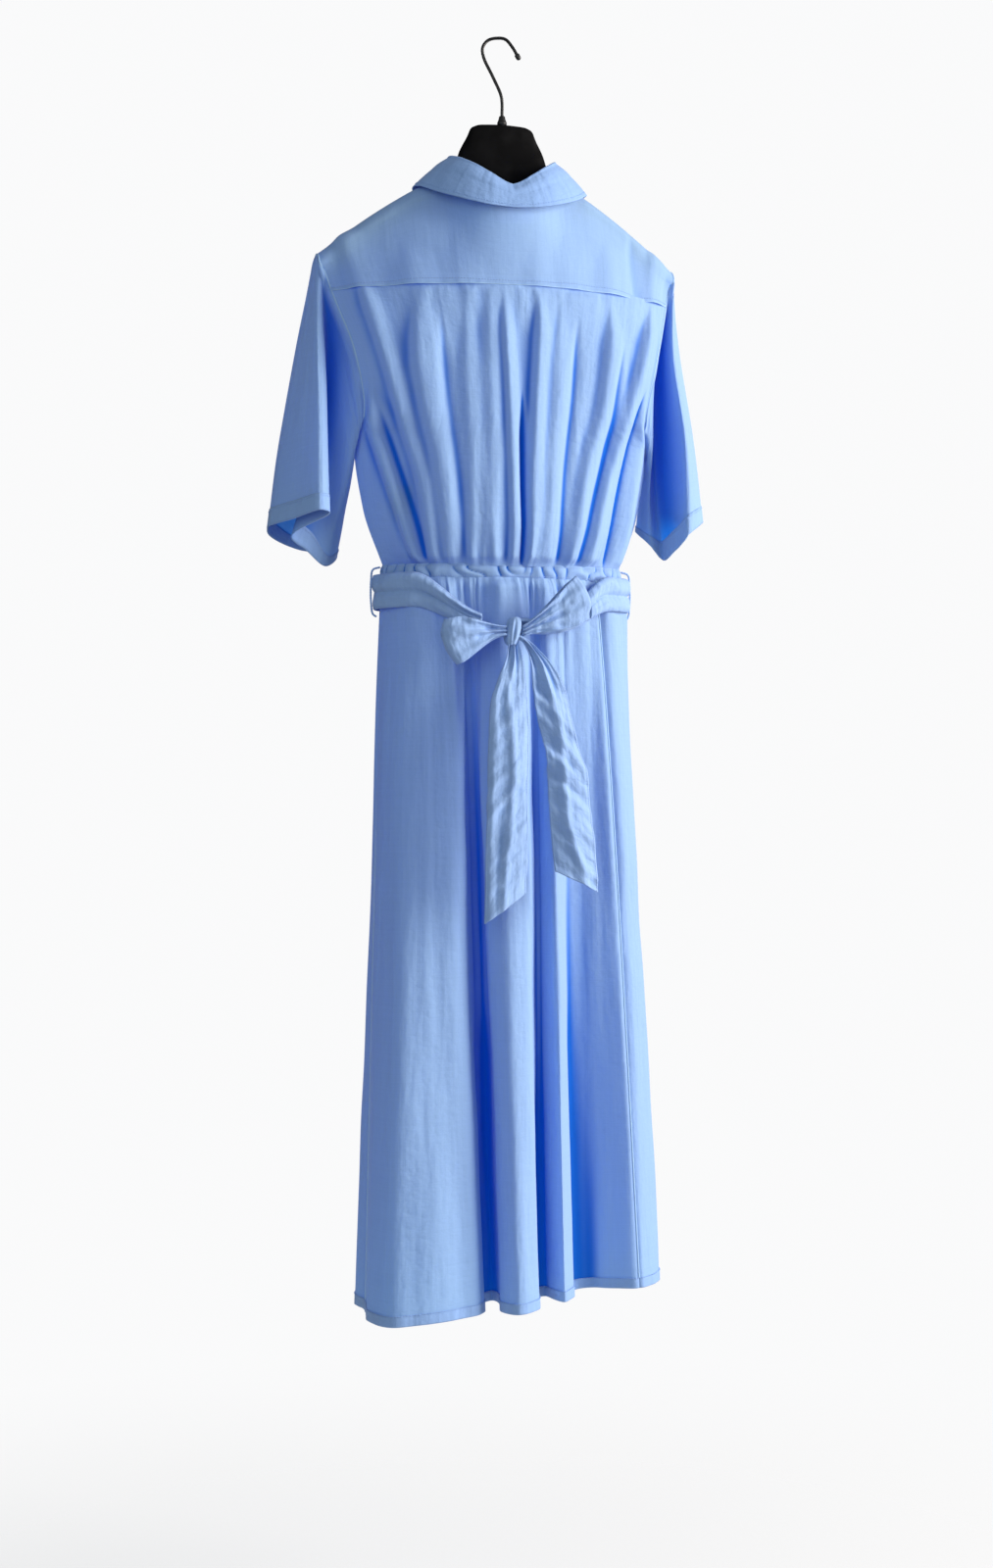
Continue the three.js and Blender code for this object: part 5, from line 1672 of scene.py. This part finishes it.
@dataclass
class Waist:
    """The elastic waist: a puckered casing with a ribbed elastic in it, and two thread loops.

    Attributes:
        columns: Points round the casing.
        pucker: Height of its puckers.
    """

    finishes: Wardrobe
    columns: int = 720
    pucker: float = 2.3

    def ring(self, offset: float, low: float, high: float, rows: int, rib: float, seed: int) -> Sheet:
        """A ring round the waist."""
        turn = np.linspace(0, TAU, self.columns, endpoint=False)[None, :]
        rise = np.linspace(0, 1, rows)[:, None]
        arc = turn * 100
        fold = np.abs(np.sin(arc / 5.6 + Ripple(seed, 16, 6).at(arc + 0 * rise, rise * 9 + 0 * arc) * 2.2))
        belly = np.sin(np.pi * rise)
        out = offset + rib * (fold - 0.4) * (0.55 + 0.45 * belly) + rib * 0.7 * belly
        return Sheet(np.stack([(WAIST_HALF + out) * np.cos(turn), (WAIST_DEPTH + out) * np.sin(turn),
                               mix(high, low, rise) + 0 * turn], axis=2), True, from_axis, reach=6)

    def build(self) -> None:
        """Builds and dresses the waist."""
        wear = self.finishes
        casing = self.ring(0.2, WAIST_LOW_Z - 2, WAIST_TOP_Z + 2, 13, self.pucker, 151)
        piece = dress(casing.build("waist_casing_cloth", 0.7), wear.cotton, "cotton", "gown",
                      "waist_casing")
        runs = []
        for side, row in (("upper", 2), ("lower", -3)):
            runs.append(wear.sewn(f"waist_stitching_{side}", closed_up(casing.points[row]),
                                  closed_up(casing.normals[row]), Stitching(2.6, 1.9, 0.3)))
        declare(casing, runs)
        elastic = self.ring(-4.2, WAIST_LOW_Z + 0.5, WAIST_TOP_Z - 0.5, 7, 0.5, 152)
        piece = dress(elastic.build("waist_elastic_knit", 0.9), wear.elastic, "elastic", "gown",
                      "waist_elastic")
        declare(elastic)
        for hand in Hand:
            reach, middle, half = WAIST_HALF + 13.5, BELT_Z, 24.0
            line = open_trip([(reach - 10, 0, middle + half + 3), (reach - 2, 0, middle + half),
                              (reach, 0, middle + half * 0.5), (reach, 0, middle - half * 0.5),
                              (reach - 2, 0, middle - half), (reach - 6, 0, middle - half - 3)], 90)
            line = mirrored(line, hand)
            chain = tube(f"belt_loop_{hand.word}_chain", line,
                         0.9 + 0.3 * np.abs(np.sin(np.arange(90) * 0.75)), 10)
            dress(chain, wear.thread, "cotton", "gown", f"belt_loop_{hand.word}")


# ---------------------------------------------------------------- belt and bow

KNOT = np.array([12.0, 88.0, -657.0])


@dataclass(frozen=True)
class BowLoop:
    """One loop of the bow.

    Attributes:
        rise: How far its end stands above the knot.
        length: From the knot to its end.
        end_width: Its width at the end.
        bulge: How far the end's corners fall back.
        lean: How much further the lower edge reaches than the upper one.
        tip: How far the end tips up.
        droop: How far its lower edge sags.
        fan: Where the knot's pleats start.
        seed: Of its creases.
    """

    rise: float
    length: float
    end_width: float
    bulge: float
    lean: float
    tip: float
    droop: float
    fan: float
    seed: int


@dataclass(frozen=True)
class Tail:
    """One tail of the bow.

    Attributes:
        outer: Heights and X of its outer edge.
        inner: The same of its inner edge.
        fold: The long fold down it.
        end_y: How far behind the garment's middle its end hangs.
        opening: Length over which the knot's pleats open out.
        slant: Which way its creases lean.
        lift_x: X of the points given with it when it is dressed.
        seed: Of its creases.
    """

    outer: Pairs
    inner: Pairs
    fold: Fold
    end_y: float
    opening: float
    slant: int
    lift_x: float
    seed: int


LOOPS = {
    Hand.LEFT: BowLoop(-4.0, 78.0, 43.0, bulge=9, lean=-7, tip=-6, droop=5, fan=0.8, seed=171),
    Hand.RIGHT: BowLoop(38.0, 84.0, 46.0, bulge=6, lean=8, tip=0, droop=0, fan=2.0, seed=181),
}
TAILS = {
    Hand.LEFT: Tail(
        ((-664, 17), (-682, 20), (-708, 31), (-734, 40), (-782, 44.5), (-861, 47), (-968, 50)),
        ((-664, 7), (-682, 3), (-708, -0.5), (-757, -2), (-810, 0.5), (-889, 2), (-936, 3.5)),
        Fold(((-690, 22), (-800, 18), (-930, 30)), 5, 3.0),
        end_y=112.0, opening=70, slant=1, lift_x=18.0, seed=191,
    ),
    Hand.RIGHT: Tail(
        ((-661, 12), (-668, 2), (-692, -6), (-735, -9), (-782, -19.5), (-849, -23), (-913, -29)),
        ((-661, 6), (-673, -12), (-697, -34), (-719, -45), (-762, -53), (-810, -66), (-875, -72.5),
         (-936, -78.6)),
        Fold(((-680, -12), (-760, -36), (-850, -40), (-920, -62)), 6, 4.0),
        end_y=107.0, opening=110, slant=-1, lift_x=-1.0, seed=201,
    ),
}


@dataclass
class Belt:
    """The tie belt: its band, and the bow with its knot, two loops and two tails.

    Attributes:
        width: Width of the belt.
        stand_off: How far the band stands outside the waist.
        loop_start: How far from the knot's middle a loop starts.
        tail_top_z: Height at which the tails leave the knot.
    """

    finishes: Wardrobe
    width: float = 38.0
    stand_off: float = 11.0
    loop_start: float = 9.0
    tail_top_z: float = -664.0

    def band(self) -> Sheet:
        """The band: it runs level at the front and is crushed into two strands at the back."""
        start = math.atan2(WAIST_DEPTH, KNOT[0]) - 0.1
        along = np.linspace(0, 1, 460)[None, :]
        fall = np.linspace(0, 1, 34)[:, None]
        angle = start - (TAU - 0.24) * along + 0 * fall
        to_knot = np.maximum(0, np.sin(angle)) ** 3
        near = smooth((to_knot - 0.25) / 0.75)
        off = self.stand_off + near * (KNOT[1] - WAIST_DEPTH - self.stand_off - 3)
        middle = mix(BELT_Z, KNOT[2] + 6, near)
        width = mix(self.width, self.width * 0.45, near)
        crush = 0.35 + 0.65 * smooth((np.sin(angle) + 0.3) / 0.8)
        v = fall * 2 - 1
        split = 0.06 * np.sin(angle * 3)
        strands = np.sqrt(np.clip(1 - (np.abs(np.abs(v - split) - 0.5) * 2) ** 2, 0, 1))
        lobe = strands * 5.0 * crush
        x = along * 900 + 0 * fall
        lobe = lobe + Ripple(161, 34, 0.5).at(x, v + 0 * along) * 1.6
        lobe = lobe + Ripple(162, 70, 0.9).at(x, v + 0 * along)
        lobe = lobe + near * np.cos(v * 9.5 + Ripple(163, 50, 9).at(x, 0 * x)) * 1.3
        out = off + lobe - 2.5
        sag = Ripple(164, 120, 5).at(x, 0 * x) * 1.6
        return Sheet(np.stack([(WAIST_HALF + self.stand_off + (lobe - 2.5)) * np.cos(angle),
                               (WAIST_DEPTH + out) * np.sin(angle),
                               middle - v * width / 2 + sag], axis=2), outward=from_axis, reach=9)

    def loop(self, hand: Hand) -> Sheet:
        """One loop of the bow, from the knot round its open end and back."""
        made = LOOPS[hand]
        turn = np.linspace(-math.pi / 2, math.pi / 2, 150)[None, :]
        fall = np.linspace(0, 1, 40)[:, None]
        v = fall * 2 - 1
        share = np.cos(turn) ** 0.75 + 0 * v
        reach = self.loop_start + (made.length - self.loop_start) * share
        reach = reach - made.bulge * v**2 * share**3 + made.lean * v * share**2
        tilt = made.tip * share**2
        open_ = 8.5 * mix(0.3, 1, smooth(share)) * (1 + 0.25 * v)
        width = mix(11.0, made.end_width, smooth(share * 1.15) ** 0.9)
        pleat = (1 - smooth((share - 0.15) / 0.8)) ** 0.8
        fan = np.cos(v * 8.5 + made.fan) * 2.6 * pleat
        fan = fan + np.cos(v * 15 + 1.1) * 0.9 * pleat
        around = share * np.sign(turn), v + 0 * turn
        soft = Ripple(made.seed, 0.28, 0.5).at(*around) * 3.4 * smooth(share * 2)
        soft = soft + Ripple(made.seed + 1, 0.12, 0.3).at(*around) * 1.2
        swell = 3.0 * (1 - v**2) * smooth(share * 1.4)
        side = np.sin(turn)
        y = KNOT[1] + 5 + open_ * side + (fan + swell) * np.tanh(side * 4) + soft
        x = KNOT[0] + hand.value * reach
        z = KNOT[2] + made.rise * share + tilt - v * width / 2
        z = z - made.droop * smooth(share) * (v > 0) * v
        return Sheet(np.stack([x, y, z], axis=2), outward=lambda p: np.broadcast_to([0, 1.0, 0], p.shape) *
                     np.sign(p[..., 1:2] - KNOT[1] - 5), reach=8)

    def tail(self, hand: Hand) -> Sheet:
        """One tail, crumpled, to its slanting end."""
        made = TAILS[hand]
        fall = np.linspace(0, 1, 190)
        edges = []
        for pairs in (made.outer, made.inner):
            top, low = max(z for z, _ in pairs), min(z for z, _ in pairs)
            z = mix(top, low, fall)
            edges.append(np.stack([Profile(pairs).at(z), 0 * z, z], axis=1))
        u = np.linspace(0, 1, 34)[None, :, None]
        grid = mix(edges[0][:, None], edges[1][:, None], u)
        x, z = grid[..., 0], grid[..., 2]
        down = self.tail_top_z - z
        grid[..., 1] = mix(KNOT[1] + 4, made.end_y, smooth(down / 150) * 0.75 + 0.25 * fall[:, None])
        v = u[..., 0] * 2 - 1
        bow = 5.0 * (1 - v**2) * mix(0.35, 1, smooth(down / 60))
        near = 1 - smooth(down / made.opening)
        pleats = (np.cos(v * 7 + 0.6) * 2.4 + np.cos(v * 13) * 1.0) * near
        skew = x * 0.8 * made.slant + z
        creases = Ripple(made.seed, 17, 40).at(skew, x - z * 0.15 * made.slant)
        creases = np.sign(creases) * np.abs(creases) ** 0.8 * 3.6
        cross = Ripple(made.seed + 1, 9, 26).at(skew + 30, x) * 1.6
        strength = 0.45 + 0.55 * smooth((down - 20) / 60)
        if hand is Hand.LEFT:
            strength = 0.4 + 0.6 * np.exp(-(((down - 185) / 60) ** 2))
            bow = bow + 3.0 * np.exp(-(((u[..., 0] - 0.12) / 0.14) ** 2)) * smooth(down / 40)
        rise = bow + pleats + (creases + cross) * strength + made.fold.at(x, z)
        sheet = Sheet(grid, outward=outward_y(1), reach=9)
        return Sheet(grid + np.stack([0 * x, rise, 0 * x], axis=2), outward=sheet.outward, reach=9)

    def knot(self) -> Sheet:
        """The knot: the belt's turn round the middle of the bow."""
        turn = np.linspace(0, TAU, 96, endpoint=False)[None, :]
        rise = np.linspace(0.02, math.pi - 0.02, 48)[:, None]
        belly = np.sin(rise) ** 0.62
        crease = np.cos(turn * 5 + rise * 1.3) * 0.9 + np.cos(turn * 11 + 1.0 - rise) * 0.45
        size = 1 + crease * 0.09 * np.sin(rise) ** 0.5
        x = KNOT[0] + 8.6 * belly * size * np.cos(turn) - 2.5 * np.cos(rise)
        y = KNOT[1] + 1.5 + 10.5 * belly * size * np.sin(turn)
        z = KNOT[2] + 15.5 * np.cos(rise) + 0.9 * np.cos(turn * 3) * np.sin(rise)
        return Sheet(np.stack([x, y, z + 0 * turn], axis=2), True,
                     lambda p: p - np.array([KNOT[0], KNOT[1], KNOT[2]]), reach=5)

    def edge_runs(self, name: str, cloth: Sheet, body: str) -> list[bpy.types.Object]:
        """The stitching along a strip's two long edges."""
        runs = []
        for side, row in (("upper", 1), ("lower", -2)):
            run = Stitching(3.0, 2.2, 0.26).sew(f"{name}_{side}", cloth.points[row], cloth.normals[row])
            runs.append(dress(run, self.finishes.thread, "cotton", body))
        return runs

    def build(self) -> None:
        """Builds and dresses the belt and its bow."""
        wear = self.finishes
        band = self.band()
        piece = dress(band.build("belt_band_cloth", 1.0), wear.crisp, "cotton", "gown", "belt_band")
        knot = dress(self.knot().build("belt_knot_cloth", 0), wear.crisp, "cotton", "gown", "belt_knot")
        declare(band,
                [knot, *self.edge_runs("belt_band_stitching", band, "gown")])
        for hand in Hand:
            loop = self.loop(hand)
            name = f"bow_loop_{hand.word}_cloth"
            piece = dress(loop.build(name, 0.9), wear.crisp, "cotton", "gown", f"bow_loop_{hand.word}")
            declare(loop,
                    self.edge_runs(f"bow_loop_{hand.word}_stitching", loop, "gown"))
            tail = self.tail(hand)
            body = f"belt_tail_{hand.word}"
            lift_x = TAILS[hand].lift_x
            start, end = (lift_x, 92.0, -668.0), (lift_x, 92.0, -712.0)
            piece = tail.build(f"belt_tail_{hand.word}_cloth", 1.0)
            dress_across(piece, wear.crisp, "cotton", ("gown", body), start, end, body)
            runs = []
            for side, column in (("outer", 1), ("inner", -2)):
                run = Stitching(3.0, 2.2, 0.26).sew(f"belt_tail_{hand.word}_stitching_{side}",
                                                    tail.points[:, column], tail.normals[:, column])
                runs.append(dress_across(run, wear.thread, "cotton", ("gown", body), start, end))
            declare(tail, runs)


# ---------------------------------------------------------------- buttons and labels


@dataclass
class Buttons:
    """Eleven four-hole buttons, each sewn through its band, with a stitched buttonhole under it.

    Attributes:
        radius: Of a button.
        thick: Of a button.
        hole: Radius of a thread hole.
        hole_reach: From the middle to a hole.
        slot_half: Half the length of a buttonhole.
    """

    finishes: Wardrobe
    radius: float = 5.8
    thick: float = 2.4
    hole: float = 0.75
    hole_reach: float = 1.75
    slot_half: float = 7.6

    def disc(self) -> bpy.types.Mesh:
        """A dished, rimmed disc about the origin, its face towards +Z, with four holes."""
        r, t = self.radius, self.thick
        rim = ((0.02, 0), (r * 0.7, 0), (r * 0.92, t * 0.2), (r, t * 0.5), (r * 0.96, t * 0.84),
               (r * 0.86, t), (r * 0.72, t * 0.94), (r * 0.6, t * 0.62), (r * 0.4, t * 0.52),
               (0.02, t * 0.5))
        body = turned("button_blank", rim, (0, 0, 0), 64)
        for k in range(4):
            turn = math.pi / 4 + k * math.pi / 2
            drill = turned(f"button_drill_{k}", ((self.hole, -1), (self.hole, t + 1)),
                           (self.hole_reach * math.cos(turn), self.hole_reach * math.sin(turn), 0), 16)
            cut = body.modifiers.new("hole", "BOOLEAN")
            cut.operation, cut.solver, cut.object = "DIFFERENCE", "EXACT", drill
        bpy.context.view_layer.update()
        ready = body.evaluated_get(bpy.context.evaluated_depsgraph_get())
        mesh = bpy.data.meshes.new_from_object(ready)
        for scrap in [body, *[o for o in bpy.data.objects if o.name.startswith("button_drill")]]:
            bpy.data.objects.remove(scrap)
        return mesh

    def build(self) -> None:
        """Builds and dresses the buttons, their thread and their buttonholes."""
        wear = self.finishes
        blank = self.disc()
        names = [f"bodice_button_{k}" for k in range(1, 6)] + [f"skirt_button_{k}" for k in range(1, 7)]
        for name in names:
            low, high = box_mm(name)
            middle = (low + high) / 2
            face_y = high[1] + 0.4
            mesh = blank.copy()
            points = np.zeros(len(mesh.vertices) * 3, np.float32)
            mesh.vertices.foreach_get("co", points)
            points = points.reshape(-1, 3) / MM
            placed = np.stack([points[:, 0] + middle[0], face_y - points[:, 2],
                               points[:, 1] + middle[2]], 1)
            mesh.vertices.foreach_set("co", (placed * MM).astype(np.float32).ravel())
            mesh.flip_normals()
            mesh.update()
            button = bpy.data.objects.new(f"{name}_pearl", mesh)
            bpy.context.scene.collection.objects.link(button)
            dress(button, wear.pearl, "button", "gown", name)
            reach = self.hole_reach * math.cos(math.pi / 4)
            front = face_y - self.thick * 0.5 - 0.35
            for k, slope in enumerate((1, -1)):
                ends = [(-reach, 0.9), (-reach * 0.8, 0.0), (0, -0.35), (reach * 0.8, 0.0), (reach, 0.9)]
                line = np.array([[middle[0] + a, front + d, middle[2] + a * slope] for a, d in ends])
                cross = tube(f"{name}_thread_{k + 1}", open_trip([tuple(p) for p in line], 14), 0.34, 8)
                dress(cross, wear.thread, "cotton", "gown")
            turn = np.linspace(0, TAU, 60)
            oval = np.stack([middle[0] + 1.1 * np.sign(np.cos(turn)) * np.abs(np.cos(turn)) ** 0.5,
                             np.full(60, face_y + 0.1),
                             middle[2] + self.slot_half * np.sin(turn)], axis=1)
            wear.sewn(f"{name}_buttonhole", oval, np.tile([0.0, -1.0, 0.0], (60, 1)),
                      Stitching(0.9, 1.5, 0.3))


@dataclass
class Labels:
    """Two blank woven labels inside the gown."""

    finishes: Wardrobe

    def build(self) -> None:
        """Builds and dresses the labels."""
        wear = self.finishes
        for node in ("neck_label", "care_label"):
            low, high = box_mm(node)
            x = np.linspace(low[0], high[0], 25)[None, :]
            z = np.linspace(high[2], low[2], 21)[:, None]
            curl = 1.6 * smooth((high[2] - z) / (high[2] - low[2])) ** 2
            y = panel_y(Face.BACK, x + 0 * z, z + 0 * x) - 3.0 - curl - 0.35 * np.sin((x - low[0]) * 0.5)
            cloth = Sheet(np.stack([x + 0 * z, y, z + 0 * x], axis=2), outward=outward_y(-1), reach=6)
            piece = dress(cloth.build(f"{node}_tape", 0.5), wear.label, "label", "gown", node)
            run = wear.sewn(f"{node}_stitching", cloth.points[1], cloth.normals[1],
                            Stitching(2.4, 1.8, 0.22))
            declare(cloth, [run])


# ---------------------------------------------------------------- hanger


@dataclass
class Hanger:
    """The contoured hanger with its turning wire hook.

    Attributes:
        wire: Radius of the hook's wire.
        top_z: Height of the neck plate's top.
        plate_thick: Thickness of the neck plate.
        arm_thick: Thickness of the arms at the shoulders.
        arm_end: How far the arms reach from the middle.
        sections: Sections along the whole hanger.
    """

    finishes: Wardrobe
    wire: float = 1.8
    top_z: float = -94.0
    plate_thick: float = 11.0
    arm_thick: float = 20.0
    arm_end: float = 191.0
    sections: int = 181

    def hook(self) -> None:
        """The hook's wire and the cap on its tip."""
        wear = self.finishes
        line = open_trip([(0, 0, -110), (0, 0, -85), (0, 0, -68), (1.5, 0, -60), (10.6, 0, -40.9),
                          (20.9, 0, -20.5), (22, 0, -9.9), (15.8, 0, -1.5), (4.8, 0, 1.7), (-4, 0, 0.9),
                          (-11.8, 0, -7), (-19, 0, -18.6)], 200)
        dress(tube("hook_bent_wire", line, self.wire, 24), wear.hook, "hook_metal", "hook", "hook_wire")
        way = unit(line[-1] - line[-3])
        steps = np.array([-4.6, -4.4, -3.0, -1.0, 0.4, 1.4, 2.0, 2.35])
        radii = np.array([2.2, 2.75, 2.85, 2.85, 2.7, 2.2, 1.4, 0.3])
        cap = tube("hook_end_cap", line[-1] + way * steps[:, None], radii, 24)
        dress(cap, wear.rubber, "hanger_plastic", "hook", "hook_tip_cap")

    def bush(self) -> None:
        """The turned bush that the shank runs in."""
        profile = ((2.2, -108), (4.2, -108), (4.2, -94), (5.2, -93.8), (5.35, -92.5), (5.2, -90.6),
                   (4.4, -90), (4.5, -88.8), (3.9, -88), (3.5, -85.4), (3.1, -84.3), (2.15, -84.05))
        dress(turned("hanger_bush", profile, (0, 0, 0), 40), self.finishes.rubber, "hanger_plastic", "gown",
              "swivel_bush")

    def body(self) -> None:
        """The plate and arms: rounded sections that swell towards the shoulders."""
        under = 2.2
        ridge = RIDGE_Z.at
        top = Profile((
            (0, self.top_z), (24, self.top_z - 0.6), (34.3, self.top_z - 4), (39, -108), (47, -123),
            (62, float(ridge(62)) - under - 12), (80, float(ridge(80)) - under - 6),
            (132.5, float(ridge(132.5)) - under - 1.5), (191, float(ridge(191)) - under),
        ))
        low = Profile(((0, -184), (62, -188), (191, float(ridge(191)) - under - 30)))
        reach = np.linspace(-1, 1, self.sections)
        x = np.sign(reach) * np.abs(reach) ** 1.15 * self.arm_end
        away = np.abs(x)
        share = away / self.arm_end
        ends = np.sqrt(np.clip((1.004 - share) / 0.07, 0.02, 1))
        high, deep = top.at(away), low.at(away)
        half_height = (high - deep) / 2 * ends
        half_thick = mix(self.plate_thick, self.arm_thick, share**2) / 2 * ends
        sweep = RIDGE_Y.at(away) * smooth(away / NECK_HALF)
        corner = mix(0.32, 1.0, smooth(away / NECK_HALF))[:, None]
        turn = np.linspace(0, TAU, 56, endpoint=False)[None, :]
        bent = [np.sign(f(turn)) * np.abs(f(turn)) ** corner for f in (np.cos, np.sin)]
        rings = np.stack([x[:, None] + 0 * turn, sweep[:, None] + half_thick[:, None] * bent[0],
                          ((high + deep) / 2)[:, None] + half_height[:, None] * bent[1]], axis=2)
        piece = shell("hanger_moulding", rings.reshape(-1, 3), self.sections, 56)
        dress(piece, self.finishes.hanger, "hanger_plastic", "gown", "hanger_body")

    def build(self) -> None:
        """Builds and dresses the hanger."""
        self.hook()
        self.bush()
        self.body()


# ---------------------------------------------------------------- studio


@dataclass
class Studio:
    """The floor, the light and the camera.

    Attributes:
        azimuth: Where the camera stands round the garment, in degrees.
        distance: From the garment's axis to the camera, in metres.
        height: The camera's height, in metres.
        lens: Its focal length, in millimetres.
        aside: How far it stands to the left of the axis, in metres.
        floor_z: Height of the floor, in millimetres.
        floor_reach: Its radius, in millimetres.
        floor_sides: Corners of each of its rings.
        shown: The surround's colour as the camera sees it.
        lit: Its colour as it lights the garment.
        lit_strength: How strongly it does.
    """

    azimuth: float = 165.0
    distance: float = 2.9
    height: float = -0.82
    lens: float = 60.4
    aside: float = 0.006
    floor_z: float = -1740.0
    floor_reach: float = 1500.0
    floor_sides: int = 96
    shown: tuple[float, ...] = (0.955, 0.957, 0.962, 1)
    lit: tuple[float, ...] = (0.8, 0.83, 0.88, 1)
    lit_strength: float = 0.29

    def camera(self) -> None:
        """The camera, level, and square to its own line to the garment."""
        turn = math.radians(self.azimuth)
        back = Vector((math.sin(turn), -math.cos(turn), 0))
        right = Vector((math.cos(turn), math.sin(turn), 0))
        data = bpy.data.cameras.new("camera")
        data.lens = self.lens
        data.sensor_width = 36.0
        camera = bpy.data.objects.new("camera", data)
        camera.location = back * self.distance - right * self.aside + Vector((0, 0, self.height))
        camera.rotation_euler = (-back).to_track_quat("-Z", "Y").to_euler()
        bpy.context.scene.collection.objects.link(camera)
        bpy.context.scene.camera = camera

    def lamp(self, name: str, place: Point, aim: Point, size: tuple[float, float], power: float,
             colour: Point) -> None:
        """A soft rectangular light."""
        data = bpy.data.lights.new(name, "AREA")
        data.shape = "RECTANGLE"
        data.size, data.size_y = size
        data.energy = power
        data.color = colour
        light = bpy.data.objects.new(name, data)
        light.location = place
        light.rotation_euler = (Vector(aim) - Vector(place)).to_track_quat("-Z", "Y").to_euler()
        bpy.context.scene.collection.objects.link(light)

    def surroundings(self) -> None:
        """A white surround that lights the garment less than it shows."""
        world = bpy.data.worlds.new("surround")
        bpy.context.scene.world = world
        world.use_nodes = True
        bench = NodeBench(world.node_tree)
        nodes = world.node_tree.nodes
        shown = bench.node("ShaderNodeBackground")
        shown.inputs["Color"].default_value = self.shown
        lit = nodes["Background"]
        lit.inputs["Color"].default_value = self.lit
        lit.inputs["Strength"].default_value = self.lit_strength
        path = bench.node("ShaderNodeLightPath")
        both = bench.node("ShaderNodeMixShader")
        bench.join(path.outputs["Is Camera Ray"], both.inputs[0])
        bench.join(lit.outputs[0], both.inputs[1])
        bench.join(shown.outputs[0], both.inputs[2])
        bench.join(both.outputs[0], nodes["World Output"].inputs["Surface"])

    def floor(self) -> None:
        """A pale floor that fades into the surround at its rim."""
        angle = np.linspace(0, TAU, self.floor_sides, endpoint=False)
        level = np.full(self.floor_sides, self.floor_z)
        rings = [np.stack([r * np.cos(angle), r * np.sin(angle), level], axis=1)
                 for r in np.linspace(1, self.floor_reach, 30)]
        disc = Sheet(np.stack(rings), True, lambda p: np.broadcast_to([0, 0, 1.0], p.shape))
        piece = disc.build("floor", 0)
        material, bench, body, _ = new_material("floor_paint")
        body.inputs["Roughness"].default_value = 0.9
        body.inputs["Emission Color"].default_value = (0.93, 0.94, 0.95, 1)
        body.inputs["Emission Strength"].default_value = 0.64
        place = bench.node("ShaderNodeTexCoord").outputs["Object"]
        split = bench.node("ShaderNodeSeparateXYZ")
        bench.join(place, split.inputs[0])
        grain = bench.noise(place, 220.0, 3.0)
        tone = bench.math("MULTIPLY_ADD", grain, 0.02, 0.2)
        for_each = bench.node("ShaderNodeCombineColor")
        for k in range(3):
            bench.join(tone, for_each.inputs[k])
        bench.join(for_each.outputs[0], body.inputs["Base Color"])
        square = bench.math("ADD", bench.math("MULTIPLY", split.outputs[0], split.outputs[0]),
                            bench.math("MULTIPLY", split.outputs[1], split.outputs[1]))
        radius = bench.math("SQRT", square)
        fade = bench.node("ShaderNodeMapRange", interpolation_type="SMOOTHSTEP")
        fade.inputs["From Min"].default_value = 0.25
        fade.inputs["From Max"].default_value = 1.4
        fade.inputs["To Min"].default_value = 0.85
        fade.inputs["To Max"].default_value = 0.0
        bench.join(radius, fade.inputs["Value"])
        bench.join(fade.outputs[0], body.inputs["Alpha"])
        piece.data.materials.append(material)

    def build(self) -> None:
        """Sets the studio up."""
        self.camera()
        self.surroundings()
        self.floor()
        self.lamp("window", (-2.6, 1.35, -0.1), (0, 0, -0.75), (1.5, 2.6), 185.0, (1.0, 0.93, 0.87))
        self.lamp("front_fill", (1.6, 2.6, 0.2), (0, 0, -0.8), (2.4, 2.4), 26.0, (0.9, 1.0, 1.0))
        self.lamp("far_fill", (-0.8, -2.8, 0.0), (0, 0, -0.8), (2.4, 2.4), 58.0, (1.0, 0.97, 0.95))
        bpy.context.scene.view_settings.view_transform = "Standard"


def main() -> None:
    """Builds the garment, its hanger and the studio."""
    logging.basicConfig(level=logging.INFO, format="%(name)s: %(message)s")
    Studio().build()
    finishes = Wardrobe()
    Hanger(finishes).build()
    Bodice(finishes).build()
    Collar(finishes).build()
    Sleeve(finishes, Hand.LEFT, LEFT_LINES).build()
    Sleeve(finishes, Hand.RIGHT, RIGHT_LINES, inner_wall=3.4).build()
    Waist(finishes).build()
    Skirt(finishes).build()
    Belt(finishes).build()
    Buttons(finishes).build()
    Labels(finishes).build()
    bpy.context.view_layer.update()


if __name__ == "__main__":
    main()
